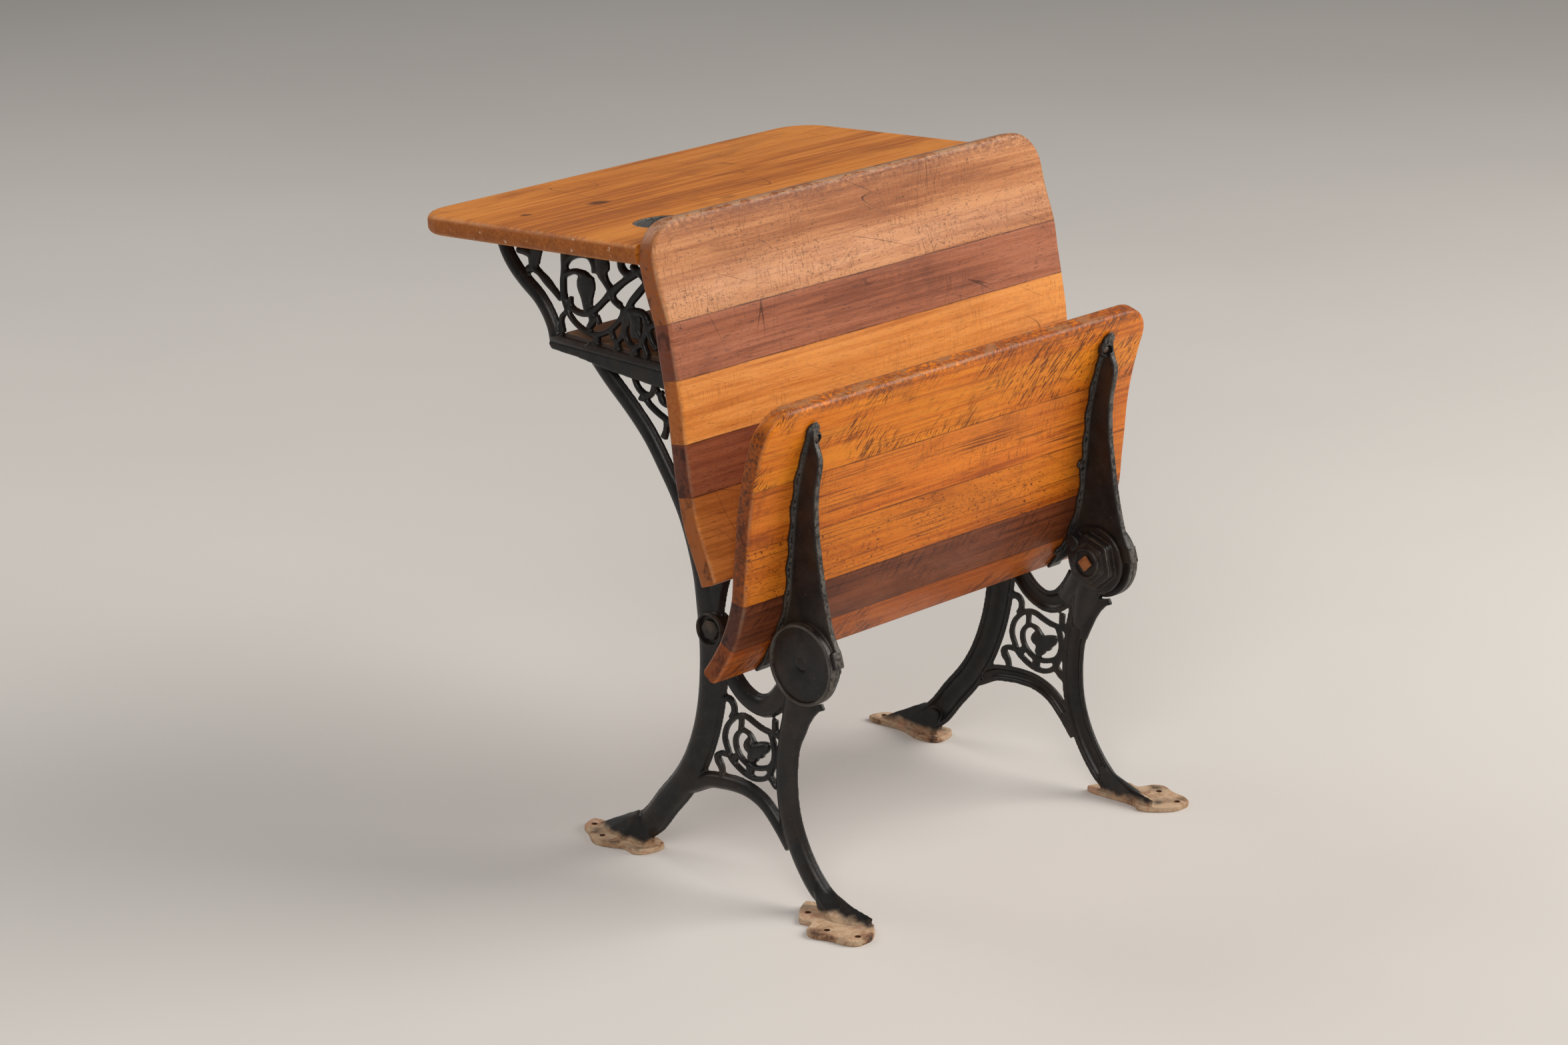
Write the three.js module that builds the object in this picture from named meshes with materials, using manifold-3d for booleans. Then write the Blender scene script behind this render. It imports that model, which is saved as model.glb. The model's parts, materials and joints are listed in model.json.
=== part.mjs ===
import * as THREE from 'three';
import { mergeVertices } from 'three/addons/utils/BufferGeometryUtils.js';
import Module from 'manifold-3d';

const wasm = await Module();
wasm.setup();

// An old single school desk. Two cast-iron standards carry a sloping desk top, a book shelf and
// the bent back panel of the seat in front. That seat folds up against the panel on two arms.
// Millimetres. +X to the right of the sitter's view of the seat, -Y the way the sitter faces, +Z up.
// The side plan, Y and Z, starts on the floor between the toes of a standard.

// Overall sizes
const standDepth = 394;
const standHeight = 575;
const deskWidth = 533;
const deskOverhang = 66.5;
const standSpacing = deskWidth - deskOverhang * 2;
const deskDepth = 305;
const deskBoard = 19;
const deskCornerRadius = 40;
const deskEdgeRound = 4;
const panelWidth = deskWidth;
const panelBoard = 21;
const panelCornerRadius = 38;
const seatEndStep = 2;
const seatWidth = deskWidth - seatEndStep * 2;
const seatBoard = 18.5;
const seatCornerRadius = 34;
const shelfBoard = 9;
const shelfDepth = 164;
const seamGap = 0.3;
const fitGap = 0.3;
const overrun = 3;

// Castings of the standards, measured from the plane in the middle of their thickness
const memberInner = 1;
const memberCrown = 13;
const memberWall = 4.5;
const strutWidth = 19;
const waistWidth = 37;
const rearLegWidth = 30;
const rearToeWidth = 20;
const frontLegWidth = 26;
const frontLegHead = 38;
const frontToeWidth = 18;
const archWidth = 17;
const saddleWidth = 23;
const uprightWidth = 22;
const bracketWidth = 17;
const railLip = 17;
const ledgeInboard = 25;
const ledgeBoard = 4;
const flangeBoard = 5;
const flangeInboard = 25;
const flangeOutboard = 8;
const deskFlangeLength = 252;
const scrollWidth = 5;
const scrollCrown = 6;
const scrollStep = 6;
const leafBoard = 6;
const footPlate = 5.5;
const footHoleRadius = 3;

// Hinge of the seat
const earRadius = 34;
const earInner = 10;
const earOuter = 0.8;
const rootOuter = 6;
const discRadius = 39;
const discInner = 5;
const discOuter = 17;
const discRim = 4;
const discDish = 2.5;
const swingClearance = 1.2;
const boltRadius = 5;
const boltHeadRadius = 6.2;
const boltHeadHeight = 2.5;
const boltHeadSink = 1;
const pipHeight = 1.6;
const collarRadius = 31;
const collarLobe = 2;
const collarBoard = 3;
const washerRadius = 15.5;
const washerRim = 2.5;
const washerRimHeight = 2;
const washerBoard = 1;
const hingeNutWidth = 12;
const hingeNutHeight = 3.5;
const stopBottom = 30;
const stopReach = 43.5;
const stopThickness = 12;
const lugReach = 47;
const lugSweepAngle = 22;
const stopAngle = 6;
const seatSwingAngle = 72;

// Arms of the seat
const armInner = 1.5;
const armWeb = 7;
const armMiddle = 5;
const armFlange = 16;
const armScallop = 2;
const armFlangeBoard = 3.5;
const armCupRadius = 7.5;
const armPadRadius = 6;
const armCupHeight = 5;

// Fasteners
const screwShank = 2.2;
const screwHead = 4;
const screwMargin = 1;
const screwHeadHeight = 2.6;
const screwSlotWidth = 1.2;
const screwSlotDepth = 1;
const panelScrewLength = 19;
const deskScrewLength = 17;
const shelfScrewLength = 10;
const armScrewLength = 16;
const frameBoltRadius = 4.5;
const frameBoltHead = 12.5;
const frameBoltHeadHeight = 4.5;
const frameNutHeight = 5;
const frameRecessRadius = 13.5;
const frameRecessDepth = 5;
const frameBossRadius = 17;
const frameBossInner = 4;

// Inkwell
const inkwellRadius = 27;
const inkwellRim = 2;
const inkwellRimBoard = 1.2;
const inkwellDepth = 27;
const inkwellWall = 1.5;
const inkwellAside = 174;
const inkwellBack = 55;

// Angles, counts and shares
const deskSlopeAngle = 4.3;
const roundSteps = 20;
const holeSteps = 8;
const cornerSteps = 4;
const stripSpans = 2;
const memberSpans = 1;
const mergeTolerance = 1e-4;

// The side plan. Each pair is a share of standDepth and a share of standHeight.
const hingeShares = [-0.274, 0.4226];
const deskFrontShares = [0.1245, 1.0405];
const frameBoltShares = [0.030, 0.429];
const railTopShare = 0.852;
const shelfRearShare = 0.553;

// Front face of the back panel, from its top edge down
const panelFaceShares = [
  [0.084, 1.113], [0.068, 1.063], [0.0495, 1.017], [0.018, 0.960], [0.005, 0.915],
  [-0.009, 0.871], [-0.024, 0.821], [-0.034, 0.770], [-0.044, 0.727], [-0.055, 0.687],
  [-0.072, 0.642], [-0.097, 0.602], [-0.114, 0.577], [-0.127, 0.554],
];
const panelSeamShares = [0, 0.276, 0.432, 0.609, 0.755, 1];

// Underside of the folded seat, from its front edge, which is on top, down
const seatFaceShares = [
  [-0.302, 0.850], [-0.287, 0.816], [-0.270, 0.781], [-0.247, 0.723], [-0.234, 0.673],
  [-0.228, 0.624], [-0.221, 0.577], [-0.215, 0.529], [-0.198, 0.485], [-0.176, 0.448],
  [-0.145, 0.4115], [-0.115, 0.3825],
];
const seatSeamShares = [0, 0.271, 0.4745, 0.667, 0.8415, 1];

// Rear edge of the strut and the rear leg, from the rail to the toe
const rearEdgeShares = [
  [0.466, 0.835], [0.397, 0.791], [0.316, 0.746], [0.261, 0.710], [0.217, 0.671],
  [0.176, 0.631], [0.143, 0.591], [0.106, 0.518], [0.093, 0.463], [0.084, 0.397],
  [0.084, 0.350], [0.090, 0.303], [0.105, 0.254], [0.133, 0.202], [0.169, 0.160],
  [0.226, 0.114], [0.285, 0.066], [0.379, 0.026], [0.475, 0.002],
];
const uprightShares = [
  [0.036, 0.452], [0.020, 0.504], [-0.006, 0.560], [-0.004, 0.600], [0.034, 0.687],
  [0.058, 0.770], [0.084, 0.871], [0.111, 0.960], [0.132, 1.020], [0.142, 1.060],
];
const frontLegShares = [
  [-0.252, 0.376], [-0.229, 0.318], [-0.210, 0.278], [-0.201, 0.226], [-0.207, 0.165],
  [-0.230, 0.115], [-0.270, 0.068], [-0.319, 0.033], [-0.385, 0.014], [-0.470, 0.006],
];
const saddleShares = [
  [0.040, 0.395], [-0.018, 0.361], [-0.056, 0.336], [-0.086, 0.325], [-0.117, 0.321],
  [-0.155, 0.330], [-0.188, 0.355], [-0.213, 0.385],
];
const archShares = [
  [0.172, 0.124], [0.106, 0.144], [0.056, 0.161], [0.017, 0.166], [-0.028, 0.169],
  [-0.080, 0.167], [-0.131, 0.154], [-0.177, 0.126], [-0.217, 0.094],
];
const bracketShares = [
  [0.560, 0.828], [0.570, 0.860], [0.590, 0.884], [0.620, 0.906], [0.664, 0.926],
  [0.704, 0.948], [0.732, 0.972], [0.748, 1.000], [0.753, 1.040],
];
const railShares = [
  [0.080, 0.810], [0.343, 0.818], [0.470, 0.827], [0.555, 0.829], [0.571, 0.838],
  [0.571, 0.852], [0.080, 0.852],
];
const legRootShares = [[-0.262, 0.390], [-0.232, 0.335], [-0.213, 0.290]];
const saddleRootShares = [[-0.240, 0.395], [-0.200, 0.365], [-0.170, 0.338]];

// Scrollwork above the rail, as lines of the side plan. The third share is of scrollWidth.
const upperScrollShares = [
  [[0.693, 0.977, 1.3], [0.666, 0.978, 1.8], [0.642, 0.974, 1.8]],
  [[0.621, 0.990, 2.2], [0.635, 0.974, 3.0], [0.638, 0.962, 2.8], [0.636, 0.954, 2.0],
    [0.617, 0.947, 1.3], [0.593, 0.936, 1.7], [0.568, 0.924, 1.3], [0.542, 0.911, 1.1]],
  [[0.660, 0.948, 1.6], [0.638, 0.953, 1.6]],
  [[0.528, 0.999, 2.2], [0.529, 0.982, 2.0], [0.531, 0.964, 1.5], [0.536, 0.942, 1.3],
    [0.534, 0.921, 1.4], [0.527, 0.904, 1.2], [0.514, 0.889, 1.0], [0.492, 0.877, 1.0],
    [0.455, 0.868, 1.1], [0.419, 0.868, 1.1], [0.382, 0.879, 1.1], [0.353, 0.895, 1.1],
    [0.332, 0.913, 1.3], [0.329, 0.927, 1.3]],
  [[0.526, 0.893, 0.9], [0.542, 0.882, 1.0], [0.543, 0.870, 1.0], [0.538, 0.856, 1.2]],
  [[0.509, 0.921, 0.7], [0.511, 0.906, 1.1], [0.491, 0.898, 1.2], [0.462, 0.898, 1.3],
    [0.432, 0.907, 1.4], [0.399, 0.926, 1.3], [0.370, 0.945, 1.7], [0.333, 0.966, 1.4],
    [0.301, 0.981, 1.4], [0.265, 0.996, 1.4], [0.229, 1.013, 1.4]],
  [[0.440, 0.901, 1.8], [0.436, 0.889, 1.6], [0.449, 0.876, 1.2]],
  [[0.423, 0.899, 1.2], [0.411, 0.887, 0.8]],
  [[0.529, 0.971, 1.0], [0.510, 0.986, 1.3], [0.477, 0.996, 1.5], [0.443, 0.996, 1.5],
    [0.427, 0.985, 1.8], [0.422, 0.971, 2.2]],
  [[0.530, 0.955, 1.2], [0.500, 0.964, 1.1], [0.473, 0.965, 1.2], [0.453, 0.962, 1.4]],
  [[0.447, 0.966, 2.6], [0.455, 0.954, 4.6], [0.459, 0.945, 4.9], [0.458, 0.936, 4.3],
    [0.456, 0.925, 3.1], [0.454, 0.913, 2.4], [0.453, 0.901, 1.4]],
  [[0.404, 1.004, 3.2], [0.403, 0.984, 3.8], [0.402, 0.973, 2.8], [0.390, 0.961, 1.6],
    [0.373, 0.949, 1.6], [0.363, 0.934, 1.3], [0.339, 0.926, 1.4]],
  [[0.338, 1.011, 1.6], [0.335, 0.991, 1.6], [0.317, 0.983, 1.6], [0.290, 0.988, 1.4],
    [0.261, 0.998, 1.2]],
  [[0.322, 0.912, 1.6], [0.305, 0.936, 1.4], [0.280, 0.955, 1.5], [0.254, 0.974, 1.3],
    [0.226, 0.994, 1.3]],
  [[0.371, 0.880, 0.9], [0.362, 0.867, 1.0], [0.344, 0.869, 1.0], [0.331, 0.882, 1.2],
    [0.324, 0.898, 1.5], [0.321, 0.915, 1.6]],
  [[0.326, 0.893, 1.0], [0.317, 0.872, 1.1], [0.292, 0.864, 1.2], [0.268, 0.873, 1.1],
    [0.258, 0.888, 1.0], [0.254, 0.904, 1.0], [0.259, 0.922, 1.2]],
  [[0.302, 0.921, 2.2], [0.291, 0.908, 3.0], [0.291, 0.894, 2.9], [0.292, 0.879, 2.0]],
  [[0.314, 0.920, 1.4], [0.273, 0.924, 1.5], [0.252, 0.918, 1.2], [0.245, 0.900, 1.3],
    [0.236, 0.883, 1.2], [0.217, 0.870, 1.2]],
  [[0.292, 0.865, 1.6], [0.292, 0.850, 1.6]],
  [[0.419, 0.869, 1.2], [0.424, 0.855, 1.6]],
  [[0.353, 0.869, 1.2], [0.351, 0.854, 1.4]],
  [[0.310, 0.924, 1.2], [0.290, 0.902, 1.2], [0.268, 0.878, 1.2], [0.250, 0.855, 1.2]],
  [[0.300, 1.000, 1.4], [0.250, 0.976, 1.2], [0.222, 0.942, 1.2], [0.190, 0.920, 1.3],
    [0.150, 0.916, 1.3], [0.105, 0.930, 1.3]],
  [[0.268, 0.878, 1.2], [0.240, 0.905, 1.4], [0.205, 0.910, 1.3], [0.180, 0.890, 1.2],
    [0.190, 0.855, 1.2]],
  [[0.222, 0.942, 1.2], [0.190, 0.960, 1.6], [0.170, 0.990, 1.3], [0.175, 1.025, 1.3]],
];

// Scrollwork between the rail, the strut and the upright
const lowerScrollShares = [
  [[0.299, 0.819, 1.2], [0.287, 0.801, 1.1], [0.269, 0.791, 1.2], [0.248, 0.789, 1.2],
    [0.235, 0.797, 1.0], [0.230, 0.806, 1.1], [0.223, 0.820, 1.3]],
  [[0.263, 0.788, 1.2], [0.248, 0.776, 1.1], [0.226, 0.767, 1.1], [0.202, 0.760, 1.1],
    [0.179, 0.755, 1.1], [0.159, 0.754, 1.1]],
  [[0.279, 0.781, 1.0], [0.253, 0.781, 1.0]],
  [[0.222, 0.816, 1.3], [0.221, 0.803, 0.9], [0.211, 0.796, 0.9], [0.200, 0.802, 0.8]],
  [[0.209, 0.797, 1.0], [0.204, 0.788, 1.5], [0.192, 0.782, 1.0], [0.174, 0.781, 1.0]],
  [[0.188, 0.755, 1.3], [0.190, 0.740, 1.2], [0.199, 0.725, 1.5]],
];

// Scrollwork between the saddle and the arch
const spiralShares = [
  [[-0.148, 0.280, 1.0], [-0.124, 0.282, 1.0], [-0.099, 0.287, 1.0], [-0.074, 0.293, 1.0],
    [-0.054, 0.293, 1.0], [-0.029, 0.284, 1.0], [-0.005, 0.265, 1.0], [0.002, 0.244, 1.0],
    [-0.007, 0.227, 1.0], [-0.019, 0.212, 1.0], [-0.043, 0.201, 1.0], [-0.067, 0.194, 1.0],
    [-0.094, 0.191, 1.0], [-0.122, 0.195, 1.0], [-0.140, 0.203, 1.1], [-0.152, 0.217, 1.2],
    [-0.159, 0.231, 1.2], [-0.162, 0.247, 1.1], [-0.159, 0.261, 1.1], [-0.154, 0.272, 1.0],
    [-0.147, 0.281, 1.0]],
  [[-0.159, 0.234, 1.0], [-0.147, 0.222, 1.0], [-0.124, 0.214, 1.0], [-0.094, 0.210, 1.0],
    [-0.069, 0.213, 1.0], [-0.048, 0.222, 1.0], [-0.036, 0.235, 1.0], [-0.034, 0.250, 1.0],
    [-0.044, 0.262, 0.9], [-0.061, 0.268, 0.8], [-0.081, 0.265, 0.8], [-0.096, 0.253, 0.8]],
  [[-0.019, 0.283, 1.1], [-0.029, 0.296, 1.1], [-0.027, 0.307, 1.2], [-0.015, 0.314, 1.3],
    [0.001, 0.313, 1.3], [0.013, 0.309, 1.0]],
  [[-0.015, 0.217, 1.1], [0.016, 0.215, 1.0], [0.030, 0.209, 1.0]],
  [[0.029, 0.211, 1.2], [0.024, 0.200, 1.7], [0.015, 0.192, 1.4], [0.011, 0.183, 1.1],
    [0.010, 0.174, 1.1]],
  [[-0.164, 0.306, 1.2], [-0.163, 0.292, 1.2], [-0.165, 0.282, 1.3], [-0.178, 0.279, 1.2]],
  [[-0.147, 0.279, 1.2], [-0.168, 0.281, 1.2]],
  [[-0.054, 0.291, 1.1], [-0.053, 0.280, 0.9], [-0.051, 0.267, 1.0]],
  [[-0.021, 0.209, 1.0], [-0.031, 0.216, 1.5], [-0.047, 0.225, 1.0]],
  [[-0.081, 0.213, 1.2], [-0.081, 0.204, 1.8], [-0.081, 0.193, 1.2]],
  [[-0.140, 0.204, 1.2], [-0.154, 0.200, 1.4], [-0.162, 0.192, 1.0], [-0.171, 0.188, 0.8]],
];

// Heart-shaped leaf inside the spiral
const leafShares = [
  [-0.097, 0.254], [-0.089, 0.260], [-0.077, 0.260], [-0.066, 0.252], [-0.063, 0.244], [-0.071, 0.237],
  [-0.080, 0.234], [-0.077, 0.225], [-0.081, 0.219], [-0.094, 0.218], [-0.107, 0.223], [-0.112, 0.229],
  [-0.125, 0.232], [-0.130, 0.238], [-0.142, 0.245], [-0.147, 0.254], [-0.144, 0.261], [-0.130, 0.261],
  [-0.111, 0.258],
];

// Outlines of the foot plates. Each pair is a share of footWidth outboard of the middle plane and
// a share of standDepth.
const footWidth = 47;
const frontFootShares = [
  [0.00, -0.262], [0.34, -0.276], [0.56, -0.297], [0.77, -0.324], [0.72, -0.354], [1.06, -0.378],
  [1.13, -0.402], [1.00, -0.444], [0.94, -0.486], [0.79, -0.512], [0.44, -0.514], [0.12, -0.489],
  [-0.12, -0.443], [0.00, -0.410],
];
const frontHoleShares = [[0.43, -0.311], [0.81, -0.415], [0.62, -0.492]];
const rearFootShares = [
  [-0.10, 0.476], [0.32, 0.462], [0.46, 0.430], [0.72, 0.378], [0.62, 0.330],
  [0.50, 0.301], [0.55, 0.262], [0.42, 0.241], [-0.10, 0.234], [-0.25, 0.290], [-0.10, 0.360],
];
const rearHoleShares = [[0.14, 0.449], [0.46, 0.381], [0.19, 0.300]];

// Half-round section of a member. Each pair is a share of half its width and a share of its rise.
const halfRoundShares = [[-1, 0], [-0.92, 0.55], [-0.5, 0.92], [0.5, 0.92], [0.92, 0.55], [1, 0]];
const coreShares = [[-1, 0], [-0.7, 1], [0.7, 1], [1, 0]];
const crownFallShare = 0.2;
const scrollShares = [[-1, 0], [-0.7, 0.85], [0.7, 0.85], [1, 0]];

// Front edge of a seat arm, from its tip down to its stop
const armEdgeShares = [
  [-0.297, 0.824], [-0.301, 0.790], [-0.315, 0.762], [-0.303, 0.708], [-0.303, 0.652],
  [-0.315, 0.591], [-0.332, 0.530], [-0.354, 0.478], [-0.376, 0.450],
];
const armShares = [0.060, 0.985];
const armCupShare = 0.115;
const armScrewShares = [0.55, 0.90];
const armScallopCount = 9;
const flangeShares = [0.07, 1];
const nearShare = 0.05;
const panelScrewShares = [0.22, 0.52, 0.87];
const deskScrewShares = [0.10, 0.50, 0.92];
const shelfScrewShares = [0.15, 0.85];

const deskSlope = THREE.MathUtils.degToRad(deskSlopeAngle);
const middleX = standSpacing / 2;
const hinge = plan(hingeShares);

// Points of the side plan

function plan([depthShare, heightShare]) {
  return new THREE.Vector2(depthShare * standDepth, heightShare * standHeight);
}

function smooth(points, spans) {
  const curve = new THREE.CatmullRomCurve3(points.map(({ x, y }) => new THREE.Vector3(x, y, 0)));
  const count = spans * (points.length - 1);
  return curve.getPoints(count).map(({ x, y }) => new THREE.Vector2(x, y));
}

// The unit normals lie to the left of the way that the line runs.
function normals(points) {
  return points.map((point, index) => {
    const before = points[Math.max(index - 1, 0)];
    const after = points[Math.min(index + 1, points.length - 1)];
    const along = after.clone().sub(before).normalize();
    return new THREE.Vector2(-along.y, along.x);
  });
}

function offsetLine(points, distances) {
  const aside = normals(points);
  return points.map((point, index) => {
    const distance = Array.isArray(distances) ? distances[index] : distances;
    return point.clone().addScaledVector(aside[index], distance);
  });
}

function arc(centre, radius, from, to, steps) {
  const points = [];
  for (let step = 0; step <= steps; step += 1) {
    const angle = THREE.MathUtils.lerp(from, to, step / steps);
    points.push(new THREE.Vector2(Math.cos(angle), Math.sin(angle)).multiplyScalar(radius).add(centre));
  }
  return points;
}

// A point at an angle above the way forward, -Y, as seen from the hinge
function fromHinge(radius, degrees) {
  const angle = THREE.MathUtils.degToRad(degrees);
  return new THREE.Vector2(-Math.cos(angle), Math.sin(angle)).multiplyScalar(radius).add(hinge);
}

// Widths at the stations of a line, blended between the values given
function widthsAlong(values, count) {
  return Array.from({ length: count }, (_, index) => {
    const place = (index / (count - 1)) * (values.length - 1);
    const whole = Math.min(Math.floor(place), values.length - 2);
    return THREE.MathUtils.lerp(values[whole], values[whole + 1], place - whole);
  });
}

// Closed solids

function solid(geometry) {
  const bare = geometry.clone();
  bare.deleteAttribute('normal');
  bare.deleteAttribute('uv');
  const merged = mergeVertices(bare, mergeTolerance);
  const places = merged.attributes.position;
  const corners = Array.from(merged.index.array);
  const [first, second, third] = [new THREE.Vector3(), new THREE.Vector3(), new THREE.Vector3()];
  let volume = 0;
  for (let index = 0; index < corners.length; index += 3) {
    first.fromBufferAttribute(places, corners[index]);
    second.fromBufferAttribute(places, corners[index + 1]);
    third.fromBufferAttribute(places, corners[index + 2]);
    volume += first.dot(second.cross(third));
  }
  return new wasm.Manifold(new wasm.Mesh({
    numProp: 3,
    vertProperties: new Float32Array(places.array),
    triVerts: new Uint32Array(volume < 0 ? corners.reverse() : corners),
  }));
}

function join(...pieces) {
  return pieces.flat().reduce((whole, piece) => whole.add(piece));
}

function cut(body, ...pieces) {
  return pieces.flat().reduce((whole, piece) => whole.subtract(piece), body);
}

// Rings of points, each closed round its own middle, joined into one closed skin
function loft(rings) {
  const size = rings[0].length;
  const points = rings.flat();
  const middles = [rings[0], rings[rings.length - 1]].map((ring) => {
    const middle = new THREE.Vector3();
    ring.forEach((point) => middle.add(point));
    return middle.divideScalar(size);
  });
  const index = [];
  for (let ring = 0; ring < rings.length - 1; ring += 1) {
    for (let corner = 0; corner < size; corner += 1) {
      const here = ring * size + corner;
      const next = ring * size + ((corner + 1) % size);
      index.push(here, next, next + size, here, next + size, here + size);
    }
  }
  const last = (rings.length - 1) * size;
  for (let corner = 0; corner < size; corner += 1) {
    const next = (corner + 1) % size;
    index.push(points.length, next, corner);
    index.push(points.length + 1, last + corner, last + next);
  }
  const geometry = new THREE.BufferGeometry();
  geometry.setFromPoints([...points, ...middles]);
  geometry.setIndex(index);
  return geometry;
}

// A bar along a line of the plan, from back to crowns, with a section given as shares
function bar(centre, widths, sectionShares, back, crowns) {
  const aside = normals(centre);
  const rings = centre.map((point, index) => sectionShares.map(([acrossShare, riseShare]) => {
    const place = point.clone().addScaledVector(aside[index], (acrossShare * widths[index]) / 2);
    const rise = THREE.MathUtils.lerp(back, crowns[index], riseShare);
    return new THREE.Vector3(rise, place.x, place.y);
  }));
  return solid(loft(rings));
}

// An outline of the side plan, given its thickness along X
function slab(outline, from, to) {
  const geometry = new THREE.ExtrudeGeometry(new THREE.Shape(outline), {
    depth: to - from,
    bevelEnabled: false,
  });
  const alongX = new THREE.Matrix4().makeBasis(
    new THREE.Vector3(0, 1, 0),
    new THREE.Vector3(0, 0, 1),
    new THREE.Vector3(1, 0, 0),
  );
  geometry.applyMatrix4(alongX);
  geometry.translate(from, 0, 0);
  return solid(geometry);
}

// A round bar along X through a point of the side plan
function rod(centre, radius, from, to, steps = roundSteps) {
  const geometry = new THREE.CylinderGeometry(radius, radius, to - from, steps);
  geometry.rotateZ(-Math.PI / 2);
  geometry.translate((from + to) / 2, centre.x, centre.y);
  return solid(geometry);
}

function turned(profile, steps) {
  const geometry = new THREE.LatheGeometry(profile.map(([x, y]) => new THREE.Vector2(x, y)), steps);
  geometry.rotateX(Math.PI / 2);
  return geometry;
}

// Turns a geometry that is drawn along +Z to point along a direction, from a start point
function aim(geometry, start, direction) {
  const turn = new THREE.Quaternion().setFromUnitVectors(new THREE.Vector3(0, 0, 1), direction);
  geometry.applyQuaternion(turn);
  geometry.translate(start.x, start.y, start.z);
  return geometry;
}

function bore(start, direction, radius, length) {
  const geometry = turned([[0, 0], [radius, 0], [radius, length], [0, length]], holeSteps);
  return solid(aim(geometry, start, direction));
}

function box(from, to) {
  const size = to.clone().sub(from);
  const geometry = new THREE.BoxGeometry(size.x, size.y, size.z);
  geometry.translate((from.x + to.x) / 2, (from.y + to.y) / 2, (from.z + to.z) / 2);
  return solid(geometry);
}

// A slotted screw whose head lies on a surface at start and whose shank runs along direction
function screw({ start, direction, length }) {
  const body = turned([
    [0, -screwHeadHeight], [screwHead, -screwHeadHeight / 2], [screwHead, 0],
    [screwShank, 0], [screwShank, length - screwShank], [0, length],
  ], holeSteps);
  const slot = new THREE.BoxGeometry(screwHead * 2 + overrun, screwSlotWidth, screwSlotDepth * 2);
  slot.translate(0, 0, -screwHeadHeight);
  return cut(solid(aim(body, start, direction)), solid(aim(slot, start, direction)));
}

// The hole that a screw needs: clear of the shank all the way
function screwHole({ start, direction, length }) {
  const before = start.clone().addScaledVector(direction, -overrun);
  return bore(before, direction, screwShank + fitGap, length + overrun + fitGap * 2);
}

function prism(width, from, to, corners, centre) {
  const radius = width / 2 / Math.cos(Math.PI / corners);
  return rod(centre, radius, from, to, corners);
}

// Boards of the panel and the seat: a curved face given as shares, thickness to the rear

const panelFace = smooth(panelFaceShares.map(plan), stripSpans);
const seatFace = smooth(seatFaceShares.map(plan), stripSpans);

function runLengths(points) {
  const lengths = [0];
  points.slice(1).forEach((point, index) => {
    lengths.push(lengths[index] + point.distanceTo(points[index]));
  });
  return lengths;
}

// Where a share of a line's length lies, counted in its points
function placeAlong(points, share) {
  const lengths = runLengths(points);
  const distance = share * lengths[points.length - 1];
  const found = lengths.findIndex((length, index) => index > 0 && length >= distance);
  const after = found < 0 ? points.length - 1 : found;
  return after - 1 + (distance - lengths[after - 1]) / (lengths[after] - lengths[after - 1]);
}

function pointAt(points, place) {
  const before = Math.min(Math.floor(place), points.length - 2);
  return points[before].clone().lerp(points[before + 1], place - before);
}

function between(points, from, to) {
  const inner = points.filter((_, index) => index > from + nearShare && index < to - nearShare);
  return [pointAt(points, from), ...inner, pointAt(points, to)];
}

function faceLength(points) {
  return runLengths(points)[points.length - 1];
}

// An outline that follows a face between two shares of its length, from near to far behind it
function following(face, [fromShare, toShare], near, far) {
  const from = placeAlong(face, fromShare);
  const to = placeAlong(face, toShare);
  return [
    ...between(offsetLine(face, near), from, to),
    ...between(offsetLine(face, far), from, to).reverse(),
  ];
}

// A point on a face at a share of its length, moved out by lift, and the way into the board
function onFace(face, share, x, lift) {
  const place = placeAlong(face, share);
  const here = pointAt(face, place);
  const behind = pointAt(offsetLine(face, seatBoard), place);
  const inward = behind.sub(here).normalize();
  const direction = new THREE.Vector3(0, inward.x, inward.y);
  const start = new THREE.Vector3(x, here.x, here.y).addScaledVector(direction, -lift);
  return { start, direction };
}

// Removes the two upper corners of a board, seen square to its upper strip
function cornerCut(width, radius, top, board, depthFrom, depthTo) {
  const side = width / 2;
  const corner = new THREE.Shape([
    new THREE.Vector2(side + board, top - radius),
    new THREE.Vector2(side + board, top + board),
    new THREE.Vector2(side - radius, top + board),
    ...arc(new THREE.Vector2(side - radius, top - radius), radius, Math.PI / 2, 0, cornerSteps),
  ]);
  return [1, -1].map((sign) => {
    const geometry = new THREE.ExtrudeGeometry(corner, {
      depth: depthTo - depthFrom,
      bevelEnabled: false,
    });
    geometry.rotateX(Math.PI / 2);
    geometry.scale(sign, 1, 1);
    geometry.translate(0, depthTo, 0);
    return solid(geometry);
  });
}

function strips(face, seamShares, width, board, cornerRadius, holes) {
  const gapShare = seamGap / 2 / faceLength(face);
  const top = face[0].y;
  const front = face[0].x;
  const corners = cornerCut(width, cornerRadius, top, board, front - board * 2, front + board * 3);
  return seamShares.slice(0, -1).map((seamShare, index) => {
    const fromShare = index === 0 ? 0 : seamShare + gapShare;
    const toShare = index === seamShares.length - 2 ? 1 : seamShares[index + 1] - gapShare;
    const outline = following(face, [fromShare, toShare], 0, board);
    const strip = slab(outline, -width / 2, width / 2);
    return cut(strip, holes, index === 0 ? corners : []);
  });
}

// Desk top. Its underside starts at a point of the side plan and slopes down to the rear.

const deskFront = plan(deskFrontShares);

function onDesk(geometry) {
  geometry.rotateX(-deskSlope);
  geometry.translate(0, deskFront.x, deskFront.y);
  return geometry;
}

function onDeskPoint(x, back, up) {
  const place = new THREE.Vector3(x, back, up).applyAxisAngle(new THREE.Vector3(1, 0, 0), -deskSlope);
  return place.add(new THREE.Vector3(0, deskFront.x, deskFront.y));
}

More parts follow.
